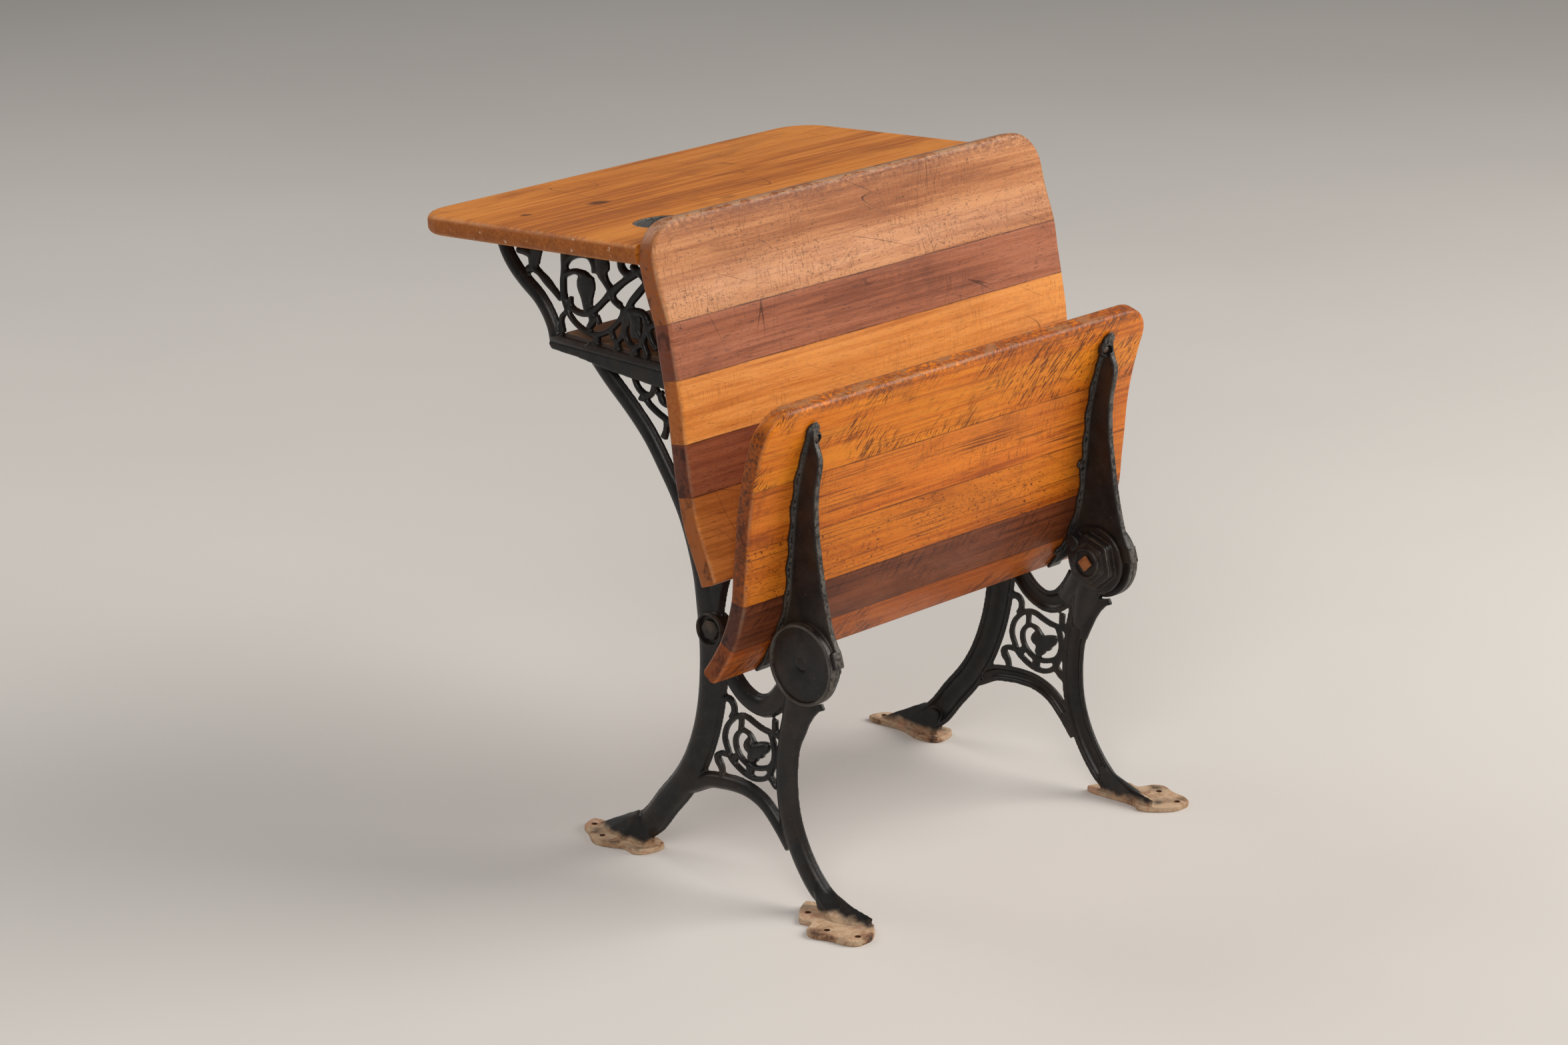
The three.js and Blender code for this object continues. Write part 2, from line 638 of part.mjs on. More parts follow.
const deskUp = new THREE.Vector3(0, Math.sin(deskSlope), Math.cos(deskSlope));

function deskBoardSolid() {
  const side = deskWidth / 2 - deskEdgeRound;
  const rear = deskDepth - deskEdgeRound;
  const radius = deskCornerRadius - deskEdgeRound;
  const outline = new THREE.Shape([
    new THREE.Vector2(-side, -overrun * 2),
    new THREE.Vector2(side, -overrun * 2),
    ...arc(new THREE.Vector2(side - radius, rear - radius), radius, 0, Math.PI / 2, cornerSteps),
    ...arc(new THREE.Vector2(radius - side, rear - radius), radius, Math.PI / 2, Math.PI, cornerSteps),
  ]);
  const geometry = new THREE.ExtrudeGeometry(outline, {
    depth: deskBoard - deskEdgeRound * 2,
    bevelThickness: deskEdgeRound,
    bevelSize: deskEdgeRound,
    bevelSegments: 2,
  });
  geometry.translate(0, 0, deskEdgeRound);
  return solid(onDesk(geometry));
}

// The cup's rim lies in a rebate, just under the desk top's surface.
const rimTop = deskBoard - fitGap;
const rimSeat = rimTop - inkwellRimBoard;

// The round space that the cup needs in the desk top and in the casting below it
function inkwellSpace() {
  const radius = inkwellRadius + fitGap;
  const rebate = radius + inkwellRim;
  const geometry = turned([
    [0, rimSeat - inkwellDepth - fitGap], [radius, rimSeat - inkwellDepth - fitGap],
    [radius, rimSeat - fitGap], [rebate, rimSeat - fitGap],
    [rebate, deskBoard + overrun], [0, deskBoard + overrun],
  ], roundSteps);
  geometry.translate(-inkwellAside, inkwellBack, 0);
  return solid(onDesk(geometry));
}

function inkwellCup() {
  const rim = inkwellRadius + inkwellRim;
  const bottom = rimSeat - inkwellDepth;
  const geometry = turned([
    [0, bottom], [inkwellRadius, bottom], [inkwellRadius, rimSeat], [rim, rimSeat],
    [rim, rimTop], [inkwellRadius - inkwellWall, rimTop],
    [inkwellRadius - inkwellWall, bottom + inkwellWall], [0, bottom + inkwellWall],
  ], roundSteps);
  geometry.translate(-inkwellAside, inkwellBack, 0);
  return solid(onDesk(geometry));
}

// Everything on the front side of the panel's rear face, with the fit gap, for cutting the boards
// and castings that lie against it
function panelSpace() {
  const halfWidth = panelWidth / 2 + overrun;
  const outline = following(panelFace, [0, 1], -panelBoard, panelBoard + fitGap);
  return slab(outline, -halfWidth, halfWidth);
}

function deskSpace() {
  const geometry = new THREE.BoxGeometry(deskWidth + overrun * 2, deskDepth * 2, deskBoard * 3);
  geometry.translate(0, 0, (deskBoard * 3) / 2 - fitGap);
  return solid(onDesk(geometry));
}

// Standards, drawn at the right side of the desk

const backX = middleX + memberInner;
const crownX = middleX + memberCrown;
const earX = middleX - earInner;
const bossX = middleX - frameBossInner;

// The crown of a member sinks as the member gets narrower.
function crownAt(width) {
  return crownX - (waistWidth - Math.min(width, waistWidth)) * crownFallShare;
}

function scroll(shares) {
  const curve = new THREE.CatmullRomCurve3(shares.map(([depthShare, heightShare, widthShare]) => {
    const { x, y } = plan([depthShare, heightShare]);
    return new THREE.Vector3(x, y, widthShare * scrollWidth);
  }));
  const count = Math.max(Math.round(curve.getLength() / scrollStep), 2);
  const stations = curve.getSpacedPoints(count);
  const line = stations.map(({ x, y }) => new THREE.Vector2(x, y));
  const crowns = line.map(() => middleX + scrollCrown);
  return bar(line, stations.map(({ z }) => z), scrollShares, backX, crowns);
}

function footPlateSolid(outlineShares, holeShares) {
  const place = ([widthShare, depthShare]) => new THREE.Vector2(
    middleX + widthShare * footWidth, depthShare * standDepth,
  );
  const outline = new THREE.Shape(outlineShares.map(place));
  const plate = solid(new THREE.ExtrudeGeometry(outline, { depth: footPlate, bevelEnabled: false }));
  const holes = holeShares.map((shares) => {
    const { x, y } = place(shares);
    return bore(new THREE.Vector3(x, y, -overrun), new THREE.Vector3(0, 0, 1), footHoleRadius,
      footPlate + overrun * 2);
  });
  return cut(plate, holes);
}

function panelFlange() {
  const outline = following(panelFace, flangeShares, panelBoard, panelBoard + flangeBoard);
  return slab(outline, middleX - flangeInboard, middleX + flangeOutboard);
}

function deskFlange() {
  const width = flangeInboard + flangeOutboard;
  const geometry = new THREE.BoxGeometry(width, deskFlangeLength, flangeBoard);
  geometry.translate(
    middleX + (flangeOutboard - flangeInboard) / 2, deskFlangeLength / 2, -flangeBoard / 2,
  );
  return solid(onDesk(geometry));
}

const railTop = railTopShare * standHeight;
const shelfRear = shelfRearShare * standDepth;
const lipX = crownX - railLip;

function rail() {
  const body = slab(railShares.map(plan), lipX, crownX);
  const ledgeTop = railTop - shelfBoard;
  const ledge = box(
    new THREE.Vector3(middleX - ledgeInboard, shelfRear - shelfDepth, ledgeTop - ledgeBoard),
    new THREE.Vector3(crownX - memberWall, shelfRear, ledgeTop - fitGap),
  );
  return join(body, ledge);
}

function shelfSpace() {
  return box(
    new THREE.Vector3(-lipX, shelfRear - shelfDepth - fitGap, railTop - shelfBoard - fitGap),
    new THREE.Vector3(lipX, shelfRear + fitGap, railTop + overrun),
  );
}

function stopLug() {
  const from = stopAngle - seatSwingAngle;
  const outline = [
    fromHinge(earRadius - overrun, from), fromHinge(lugReach, from),
    fromHinge(lugReach, from - lugSweepAngle), fromHinge(earRadius - overrun, from - lugSweepAngle),
  ];
  return slab(outline, earX, crownX);
}

function heartLeaf() {
  const outline = smooth([...leafShares, leafShares[0]].map(plan), 1).slice(0, -1);
  return slab(outline, backX, middleX + leafBoard);
}

const frameBolt = plan(frameBoltShares);

function standardLines() {
  const lines = {
    rear: smooth(rearEdgeShares.map(plan), memberSpans),
    upright: smooth(uprightShares.map(plan), memberSpans),
    frontLeg: smooth(frontLegShares.map(plan), memberSpans),
    saddle: smooth(saddleShares.map(plan), memberSpans),
    arch: smooth(archShares.map(plan), memberSpans),
    bracket: smooth(bracketShares.map(plan), memberSpans),
  };
  const widths = {
    rear: [
      strutWidth, strutWidth, strutWidth, (strutWidth + waistWidth) / 2, waistWidth,
      (waistWidth + rearLegWidth) / 2, rearLegWidth, rearLegWidth, rearToeWidth,
    ],
    upright: [uprightWidth, uprightWidth],
    frontLeg: [frontLegHead, frontLegWidth, frontLegWidth, frontLegWidth, frontToeWidth],
    saddle: [saddleWidth, saddleWidth],
    arch: [archWidth, archWidth],
    bracket: [bracketWidth, bracketWidth],
  };
  Object.keys(lines).forEach((name) => {
    widths[name] = widthsAlong(widths[name], lines[name].length);
  });
  lines.rear = offsetLine(lines.rear, widths.rear.map((width) => -width / 2));
  return Object.keys(lines).map((name) => ({ line: lines[name], widths: widths[name] }));
}

function standardBars() {
  return standardLines().map(({ line, widths }) => (
    bar(line, widths, halfRoundShares, backX, widths.map(crownAt))));
}

// The hollow side of the members, open towards the middle of the desk
function standardCores() {
  return standardLines().map(({ line, widths }) => bar(
    line.slice(1, -1),
    widths.slice(1, -1).map((width) => width - memberWall * 2),
    coreShares,
    backX - overrun,
    widths.slice(1, -1).map((width) => crownAt(width) - memberWall),
  ));
}

// Where a member reaches the hinge it thickens inward to carry the ear.
function root(shares, width) {
  const line = shares.map(plan);
  return bar(
    line, line.map(() => width), coreShares, earX, line.map(() => middleX + rootOuter),
  );
}

function belowFloor() {
  const reach = standDepth * 2;
  return box(new THREE.Vector3(0, -reach, -reach), new THREE.Vector3(reach, reach, 0));
}

function standard() {
  const scrolls = [...upperScrollShares, ...lowerScrollShares, ...spiralShares].map(scroll);
  const ear = rod(hinge, earRadius, earX, middleX + earOuter);
  const boss = rod(frameBolt, frameBossRadius, bossX, crownX);
  const roots = [root(legRootShares, frontLegHead), root(saddleRootShares, saddleWidth)];
  const feet = [
    footPlateSolid(frontFootShares, frontHoleShares),
    footPlateSolid(rearFootShares, rearHoleShares),
  ];
  const channels = cut(join(standardBars()), standardCores());
  const whole = join(
    channels, scrolls, heartLeaf(), rail(), panelFlange(), deskFlange(), ear, roots, boss,
    stopLug(), feet,
  );
  const reach = crownX + overrun;
  return cut(
    whole,
    rod(hinge, discRadius + swingClearance, middleX + earOuter, reach),
    rod(hinge, boltRadius + fitGap, 0, reach, holeSteps),
    rod(frameBolt, frameBoltRadius + fitGap, 0, reach, holeSteps),
    rod(frameBolt, frameRecessRadius, crownX - frameRecessDepth, reach),
    panelSpace(),
    deskSpace(),
    shelfSpace(),
    belowFloor(),
    rightScrews().map(screwHole),
  );
}

// Arms of the seat, drawn at the right side

function armFlangeSolid() {
  const [from, to] = armShares.map((share) => placeAlong(seatFace, share));
  const lines = [fitGap, armFlangeBoard].map((lift) => between(offsetLine(seatFace, -lift), from, to));
  const [, outer] = lines;
  const middle = middleX + armMiddle;
  const rings = outer.map((_, index) => {
    const turn = (index / (outer.length - 1)) * armScallopCount * 2 * Math.PI;
    const reach = (armFlange + armScallop * Math.cos(turn)) / 2;
    const [near, far] = lines.map((line) => line[index]);
    return [[-reach, near], [reach, near], [reach, far], [-reach, far]].map(([across, point]) => (
      new THREE.Vector3(middle + across, point.x, point.y)));
  });
  return solid(loft(rings));
}

function armWebSolid() {
  const edge = smooth(armEdgeShares.map(plan), 1);
  const inner = fromHinge(stopBottom, stopAngle);
  const from = Math.atan2(inner.y - hinge.y, inner.x - hinge.x);
  const lower = arc(hinge, stopBottom, from, Math.PI * 2, holeSteps);
  const [tip, tail] = armShares.map((share) => placeAlong(seatFace, share));
  const board = between(offsetLine(seatFace, -armFlangeBoard / 2), tip, tail).reverse();
  const outline = [...edge, fromHinge(stopReach, stopAngle), ...lower, ...board];
  return slab(outline, middleX + armInner, middleX + armInner + armWeb);
}

function armStop() {
  const reachAngle = stopAngle + lugSweepAngle;
  const outline = [
    fromHinge(stopBottom, stopAngle), fromHinge(stopReach, stopAngle),
    fromHinge(stopReach, reachAngle), fromHinge(stopBottom, reachAngle),
  ];
  return slab(outline, middleX + armInner, middleX + armInner + stopThickness);
}

function armDisc() {
  const from = middleX + discInner;
  const to = middleX + discOuter;
  return cut(
    rod(hinge, discRadius, from, to, roundSteps * 2),
    rod(hinge, discRadius - discRim, to - discDish, to + overrun),
    rod(hinge, boltHeadRadius + fitGap, to - discDish - boltHeadSink - boltHeadHeight, to),
  );
}

function tipScrew() {
  return {
    ...onFace(seatFace, armCupShare, middleX + armInner, armFlangeBoard + fitGap),
    length: armScrewLength,
  };
}

function armScrews() {
  const x = middleX + armInner - screwHead - screwMargin;
  return armScrewShares.map((share) => ({
    ...onFace(seatFace, share, x, armFlangeBoard + fitGap),
    length: armScrewLength,
  }));
}

function arm() {
  const cup = onFace(seatFace, armCupShare, middleX + armInner, armFlangeBoard + armCupHeight);
  const cupDepth = armFlangeBoard + armCupHeight - fitGap;
  const pads = armScrews().map(({ start, direction }) => (
    bore(start, direction, armPadRadius, armFlangeBoard)));
  return cut(
    join(
      armWebSolid(), armFlangeSolid(), armStop(), armDisc(), pads,
      bore(cup.start, cup.direction, armCupRadius, cupDepth),
    ),
    bore(cup.start, cup.direction, screwHead + screwMargin, armCupHeight),
    rod(hinge, boltRadius + fitGap, 0, middleX * 2),
    slab(following(seatFace, [0, 1], -fitGap, seatBoard), 0, middleX * 2),
    [tipScrew(), ...armScrews()].map(screwHole),
  );
}

// Pins and washers of the hinge, drawn at the right side

const collarFace = earX - fitGap - collarBoard;
const washerFace = collarFace - fitGap - washerBoard;
const hingeNutFace = washerFace - fitGap - hingeNutHeight;
const boltSeat = middleX + discOuter - discDish - boltHeadSink - boltHeadHeight;

function hingeHole(reach) {
  return rod(hinge, boltRadius + fitGap, 0, reach, holeSteps);
}

function hingeBolt() {
  return join(
    rod(hinge, boltHeadRadius, boltSeat + fitGap, boltSeat + fitGap + boltHeadHeight),
    rod(hinge, boltRadius, hingeNutFace - pipHeight, boltSeat + fitGap * 2, holeSteps),
  );
}

function hingeCollar() {
  const lobes = arc(hinge, collarRadius, 0, Math.PI * 2, roundSteps * 2).slice(1);
  const waved = lobes.map((point, index) => (
    index % 4 < 2 ? point : point.lerp(hinge, collarLobe / collarRadius)));
  return cut(slab(waved, collarFace, earX - fitGap), hingeHole(middleX));
}

function hingeWasher() {
  const rimFace = washerFace - washerRimHeight;
  return cut(
    rod(hinge, washerRadius, rimFace, collarFace - fitGap),
    rod(hinge, washerRadius - washerRim, rimFace - overrun, washerFace),
    hingeHole(middleX),
  );
}

function hingeNut() {
  return cut(prism(hingeNutWidth, hingeNutFace, washerFace - fitGap, 4, hinge), hingeHole(middleX));
}

// The bolt through the waist of each standard

function frameBoltSolid() {
  const seat = crownX - frameRecessDepth;
  return join(
    prism(frameBoltHead, seat, seat + frameBoltHeadHeight, 6, frameBolt),
    rod(frameBolt, frameBoltRadius, bossX - frameNutHeight - pipHeight, seat + fitGap, holeSteps),
  );
}

function frameNut() {
  return cut(
    prism(frameBoltHead, bossX - frameNutHeight, bossX, 6, frameBolt),
    rod(frameBolt, frameBoltRadius + fitGap, 0, middleX, holeSteps),
  );
}

// Screws of the right side: where each head lies and which way its shank runs

const screwX = lipX - screwHead - screwMargin;

function panelScrews() {
  const lift = -(panelBoard + flangeBoard + fitGap);
  return panelScrewShares.map((share) => {
    const { start, direction } = onFace(panelFace, share, screwX, lift);
    return { start, direction: direction.negate(), length: panelScrewLength };
  });
}

function deskScrews() {
  return deskScrewShares.map((share) => ({
    start: onDeskPoint(screwX, share * deskFlangeLength, -flangeBoard - fitGap),
    direction: deskUp,
    length: deskScrewLength,
  }));
}

function shelfScrews() {
  const start = railTop - shelfBoard - ledgeBoard - fitGap;
  return shelfScrewShares.map((share) => ({
    start: new THREE.Vector3(screwX, shelfRear - shelfDepth * share, start),
    direction: new THREE.Vector3(0, 0, 1),
    length: shelfScrewLength,
  }));
}

function rightScrews() {
  return [...panelScrews(), ...deskScrews(), ...shelfScrews()];
}

// Wooden parts

function mirroredScrew({ start, direction, length }) {
  return { start: new THREE.Vector3(-start.x, start.y, start.z), direction, length };
}

function bothSides(screws) {
  return [...screws, ...screws.map(mirroredScrew)].map(screwHole);
}

function backStrips() {
  return strips(panelFace, panelSeamShares, panelWidth, panelBoard, panelCornerRadius,
    bothSides(panelScrews()));
}

function seatStrips() {
  return strips(seatFace, seatSeamShares, seatWidth, seatBoard, seatCornerRadius,
    bothSides([tipScrew(), ...armScrews()]));
}

function deskTop() {
  return cut(deskBoardSolid(), panelSpace(), inkwellSpace(), bothSides(deskScrews()));
}

function bookShelf() {
  const reach = lipX - fitGap;
  const board = box(
    new THREE.Vector3(-reach, shelfRear - shelfDepth, railTop - shelfBoard),
    new THREE.Vector3(reach, shelfRear, railTop),
  );
  return cut(board, bothSides(shelfScrews()));
}

// Finishes

function finish(color, roughness, metalness) {
  return () => new THREE.MeshStandardMaterial({ color, roughness, metalness });
}

const finishes = {
  castIron: finish('#1c1a18', 0.5, 0.6),
  lightWood: finish('#b9864a', 0.4, 0),
  darkWood: finish('#7a4420', 0.4, 0),
  deskWood: finish('#a8743c', 0.4, 0),
  shelfWood: finish('#6b4a2c', 0.6, 0),
  steel: finish('#5a5148', 0.45, 0.9),
  pewter: finish('#6f7172', 0.5, 0.8),
};

function geometryOf(body) {
  const { vertProperties, triVerts } = body.getMesh();
  const geometry = new THREE.BufferGeometry();
  geometry.setAttribute('position', new THREE.BufferAttribute(new Float32Array(vertProperties), 3));
  geometry.setIndex(Array.from(triVerts));
  return geometry;
}

function mirroredGeometry(body) {
  const geometry = geometryOf(body);
  geometry.scale(-1, 1, 1);
  geometry.setIndex(Array.from(geometry.index.array).reverse());
  return geometry;
}

function mesh(name, geometry, finishName) {
  geometry.computeVertexNormals();
  const node = new THREE.Mesh(geometry, finishes[finishName]());
  node.name = name;
  return node;
}

function single(name, body, finishName) {
  return mesh(name, geometryOf(body), finishName);
}

function pair(name, body, finishName) {
  return [
    mesh(name.replace('SIDE', 'right'), geometryOf(body), finishName),
    mesh(name.replace('SIDE', 'left'), mirroredGeometry(body), finishName),
  ];
}

function screwPairs(name, screws) {
  return screws.flatMap((place, index) => pair(`${name}_SIDE_${index + 1}`, screw(place), 'steel'));
}

function stripNodes(name, bodies, woods) {
  return bodies.map((body, index) => single(`${name}_${index + 1}`, body, woods[index]));
}

const panelWoods = ['lightWood', 'darkWood', 'lightWood', 'darkWood', 'lightWood'];
const seatWoods = ['lightWood', 'lightWood', 'lightWood', 'darkWood', 'lightWood'];

const rightStandard = standard();
const leftStandard = cut(solid(mirroredGeometry(rightStandard)), inkwellSpace());

const desk = new THREE.Group();
desk.add(
  single('standard_right', rightStandard, 'castIron'),
  single('standard_left', leftStandard, 'castIron'),
  ...pair('seat_arm_SIDE', arm(), 'castIron'),
  ...stripNodes('back_strip', backStrips(), panelWoods),
  ...stripNodes('seat_strip', seatStrips(), seatWoods),
  single('desk_top', deskTop(), 'deskWood'),
  single('book_shelf', bookShelf(), 'shelfWood'),
  single('inkwell_cup', inkwellCup(), 'pewter'),
  ...pair('hinge_bolt_SIDE', hingeBolt(), 'steel'),
  ...pair('hinge_collar_SIDE', hingeCollar(), 'castIron'),
  ...pair('hinge_washer_SIDE', hingeWasher(), 'steel'),
  ...pair('hinge_nut_SIDE', hingeNut(), 'steel'),
  ...pair('frame_bolt_SIDE', frameBoltSolid(), 'steel'),
  ...pair('frame_nut_SIDE', frameNut(), 'steel'),
  ...pair('arm_tip_screw_SIDE', screw(tipScrew()), 'steel'),
  ...screwPairs('arm_screw', armScrews()),
  ...screwPairs('back_screw', panelScrews()),
  ...screwPairs('desk_screw', deskScrews()),
  ...screwPairs('shelf_screw', shelfScrews()),
);

// The origin lies on the floor under the middle of the whole desk.
const bounds = new THREE.Box3().setFromObject(desk);
desk.position.y = -(bounds.min.y + bounds.max.y) / 2;

export default desk;
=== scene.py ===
"""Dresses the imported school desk: fine castings, bent boards, fittings, finishes, light and camera."""

import json
import logging
import math
from dataclasses import dataclass, field
from enum import Enum
from typing import Callable, Iterable, Sequence

import bmesh
import bpy
import numpy as np
from mathutils import Euler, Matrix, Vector


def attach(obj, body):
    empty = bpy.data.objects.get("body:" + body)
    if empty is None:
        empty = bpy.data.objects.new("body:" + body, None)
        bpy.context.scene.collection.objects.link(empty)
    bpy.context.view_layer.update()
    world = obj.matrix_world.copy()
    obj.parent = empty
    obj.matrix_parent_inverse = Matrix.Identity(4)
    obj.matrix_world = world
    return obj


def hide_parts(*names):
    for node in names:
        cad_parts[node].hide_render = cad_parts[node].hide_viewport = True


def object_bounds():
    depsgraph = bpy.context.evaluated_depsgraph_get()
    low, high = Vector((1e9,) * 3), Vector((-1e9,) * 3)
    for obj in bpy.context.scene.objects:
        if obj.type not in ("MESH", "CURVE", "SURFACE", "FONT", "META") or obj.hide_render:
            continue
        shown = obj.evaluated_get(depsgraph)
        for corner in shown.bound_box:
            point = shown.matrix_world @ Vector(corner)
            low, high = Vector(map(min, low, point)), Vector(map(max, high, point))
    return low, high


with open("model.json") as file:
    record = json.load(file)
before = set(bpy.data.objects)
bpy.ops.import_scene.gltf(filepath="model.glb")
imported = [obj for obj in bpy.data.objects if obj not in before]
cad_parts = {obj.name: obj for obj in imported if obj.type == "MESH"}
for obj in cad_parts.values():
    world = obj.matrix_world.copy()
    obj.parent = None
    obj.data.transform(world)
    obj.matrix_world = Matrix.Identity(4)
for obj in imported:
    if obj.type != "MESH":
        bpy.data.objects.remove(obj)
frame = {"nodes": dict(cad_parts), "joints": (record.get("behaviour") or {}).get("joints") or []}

log = logging.getLogger("school_desk")

Colour = tuple[float, float, float]
Shell = tuple[np.ndarray, list[list[int]]]
Socket = bpy.types.NodeSocket

MM = 0.001
CAD_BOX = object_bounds()

# The stand's depth and height, the hinge as shares of them, the plan's zero along Y and the
# middle plane of a standard, in millimetres
STAND = np.array([394.0, 575.0])
HINGE_SHARE = (-0.274, 0.4226)
SHIFT = frame["joints"][0]["pos_m"][1] / MM - HINGE_SHARE[0] * STAND[0]
MIDDLE = 200.0

# Planes well inside and well outside a standard, between which it is cut
INSIDE, OUTSIDE = 150, 280

NUDGES = (0.0, 0.021, -0.033, 0.052)
NUDGE_WAY = (1.0, 0.7, 0.4)
NEAR = 1e-3


class Side(Enum):
    """The two sides of the desk, by the sign of X."""

    LEFT = -1
    RIGHT = 1

    @property
    def word(self) -> str:
        """The side as it stands in node names."""
        return self.name.lower()


# Points and lines of the side plan, millimetres in the row frame


def plan(shares: Sequence) -> np.ndarray:
    """Turns shares of the standard's depth and height into Y and Z.

    Args:
        shares: pairs of shares, or one pair.

    Returns:
        The points, in millimetres.
    """
    return np.array(shares, float) * STAND + (SHIFT, 0.0)


HINGE = plan(HINGE_SHARE)
HINGE_AXIS = np.array([0.0, *HINGE])
X_WAY = np.array([1.0, 0.0, 0.0])
Z_WAY = np.array([0.0, 0.0, 1.0])


def smooth(points: np.ndarray, spans: int, closed: bool = False) -> np.ndarray:
    """Runs a centripetal curve through points.

    Args:
        points: the points it passes.
        spans: how many steps it takes from point to point.
        closed: whether it returns to its start.

    Returns:
        The points of the curve.
    """
    if closed:
        ring = np.vstack([points[-1], points, points[0], points[1]])
    else:
        ring = np.vstack([2 * points[0] - points[1], points, 2 * points[-1] - points[-2]])
    made = []
    for before, start, end, after in zip(ring, ring[1:], ring[2:], ring[3:]):
        gaps = [max(np.linalg.norm(b - a), 1e-6) ** 0.5
                for a, b in ((before, start), (start, end), (end, after))]
        leave = (start - before) / gaps[0] - (end - before) / (gaps[0] + gaps[1])
        leave = (leave + (end - start) / gaps[1]) * gaps[1]
        arrive = (end - start) / gaps[1] - (after - start) / (gaps[1] + gaps[2])
        arrive = (arrive + (after - end) / gaps[2]) * gaps[1]
        for step in range(spans):
            t = step / spans
            made.append(
                start + leave * t + (3 * (end - start) - 2 * leave - arrive) * t**2
                + (2 * (start - end) + leave + arrive) * t**3
            )
    if not closed:
        made.append(points[-1])
    return np.array(made)


def evenly(points: np.ndarray, step: float) -> np.ndarray:
    """Spaces a line's points evenly.

    Args:
        points: the line.
        step: the distance wanted between points.

    Returns:
        The line with new points.
    """
    run = np.concatenate([[0], np.cumsum(np.linalg.norm(np.diff(points, axis=0), axis=1))])
    count = max(int(round(run[-1] / step)), 2) + 1
    places = np.linspace(0, run[-1], count)
    return np.stack([np.interp(places, run, points[:, k]) for k in range(points.shape[1])], 1)


def normals(points: np.ndarray) -> np.ndarray:
    """Unit normals to the left of a line's way.

    Args:
        points: the line.

    Returns:
        One normal for each point.
    """
    ahead = np.vstack([points[1:], points[-1:]]) - np.vstack([points[:1], points[:-1]])
    ahead /= np.linalg.norm(ahead, axis=1)[:, None]
    return np.stack([-ahead[:, 1], ahead[:, 0]], 1)


def circle(centre: Sequence[float], radius: float, steps: int) -> np.ndarray:
    """The points of a circle of the side plan."""
    turn = np.arange(steps) * 2 * math.pi / steps
    return np.array(centre) + radius * np.stack([np.cos(turn), np.sin(turn)], 1)


def from_hinge(radius: float, degrees: float) -> np.ndarray:
    """A point round the hinge, at an angle above the way forward."""
    turn = math.radians(degrees)
    return HINGE + radius * np.array([-math.cos(turn), math.sin(turn)])


# Closed shells, as points and faces


def loft(rings: Sequence[np.ndarray]) -> Shell:
    """Joins rings of points into one closed shell.

    Args:
        rings: the rings, all with the same number of points.

    Returns:
        The shell. Its last two faces are its ends.
    """
    size = len(rings[0])
    faces = []
    for ring in range(len(rings) - 1):
        for corner in range(size):
            here, after = ring * size + corner, ring * size + (corner + 1) % size
            faces.append([here, after, after + size, here + size])
    last = (len(rings) - 1) * size
    faces.append(list(range(size))[::-1])
    faces.append([last + corner for corner in range(size)])
    return np.vstack(rings), faces


def bar(line: np.ndarray, widths: np.ndarray, section: np.ndarray, back: float,
        crowns: np.ndarray) -> Shell:
    """A bar along a line of the side plan.

    Args:
        line: its middle, Y and Z.
        widths: its width at each point.
        section: pairs of shares of half the width and of the rise.
        back: the X of its back.
        crowns: the X of its crown at each point.

    Returns:
        The closed shell.
    """
    rings = []
    for point, aside, width, crown in zip(line, normals(line), widths, crowns):
        place = point + section[:, :1] * aside * width / 2
        rise = back + (crown - back) * section[:, 1]
        rings.append(np.column_stack([rise, place]))
    return loft(rings)


def slab(outline: np.ndarray, start: float, end: float) -> Shell:
    """An outline of the side plan, made solid from one X to another."""
    return loft([np.column_stack([np.full(len(outline), x), outline]) for x in (start, end)])


def plate(outline: np.ndarray, start: float, end: float) -> Shell:
    """An outline of the floor plan, made solid from one Z to another."""
    return loft([np.column_stack([outline, np.full(len(outline), z)]) for z in (start, end)])


def lathe(profile: Sequence[tuple[float, float]], start: np.ndarray, way: np.ndarray,
          steps: int = 48) -> Shell:
    """A turned piece.

    Args:
        profile: radius and height pairs, from one end of the axis to the other.
        start: where height zero lies.
        way: the unit direction of the axis.
        steps: the number of sides.

    Returns:
        The closed shell.
    """
    across = np.cross(way, (0.0, 0.0, 1.0) if abs(way[2]) < 0.9 else (1.0, 0.0, 0.0))
    across /= np.linalg.norm(across)
    other = np.cross(way, across)
    turn = np.arange(steps) * 2 * math.pi / steps
    spokes = np.cos(turn)[:, None] * across + np.sin(turn)[:, None] * other
    return loft([start + way * height + spokes * max(radius, 0.01) for radius, height in profile])


def bored(shell: Shell, size: int) -> Shell:
    """Joins a lofted shell's last ring to its first in place of its ends, so that a bore is left.

    Args:
        shell: the shell.
        size: how many points each of its rings has.

    Returns:
        The shell with its bore.
    """
    points, faces = shell
    last = len(points) - size
    bridge = [[last + k, last + (k + 1) % size, (k + 1) % size, k] for k in range(size)]
    return points, faces[:-2] + bridge


def hull(points: np.ndarray) -> Shell:
    """The convex solid round points.

    Args:
        points: the points.

    Returns:
        The closed shell.
    """
    work = bmesh.new()
    for point in points:
        work.verts.new(point)
    found = bmesh.ops.convex_hull(work, input=work.verts)
    bmesh.ops.delete(work, geom=[v for v in found["geom_interior"] if v.is_valid], context="VERTS")
    work.verts.index_update()
    shell = (np.array([v.co for v in work.verts]), [[v.index for v in f.verts] for f in work.faces])
    work.free()
    return shell


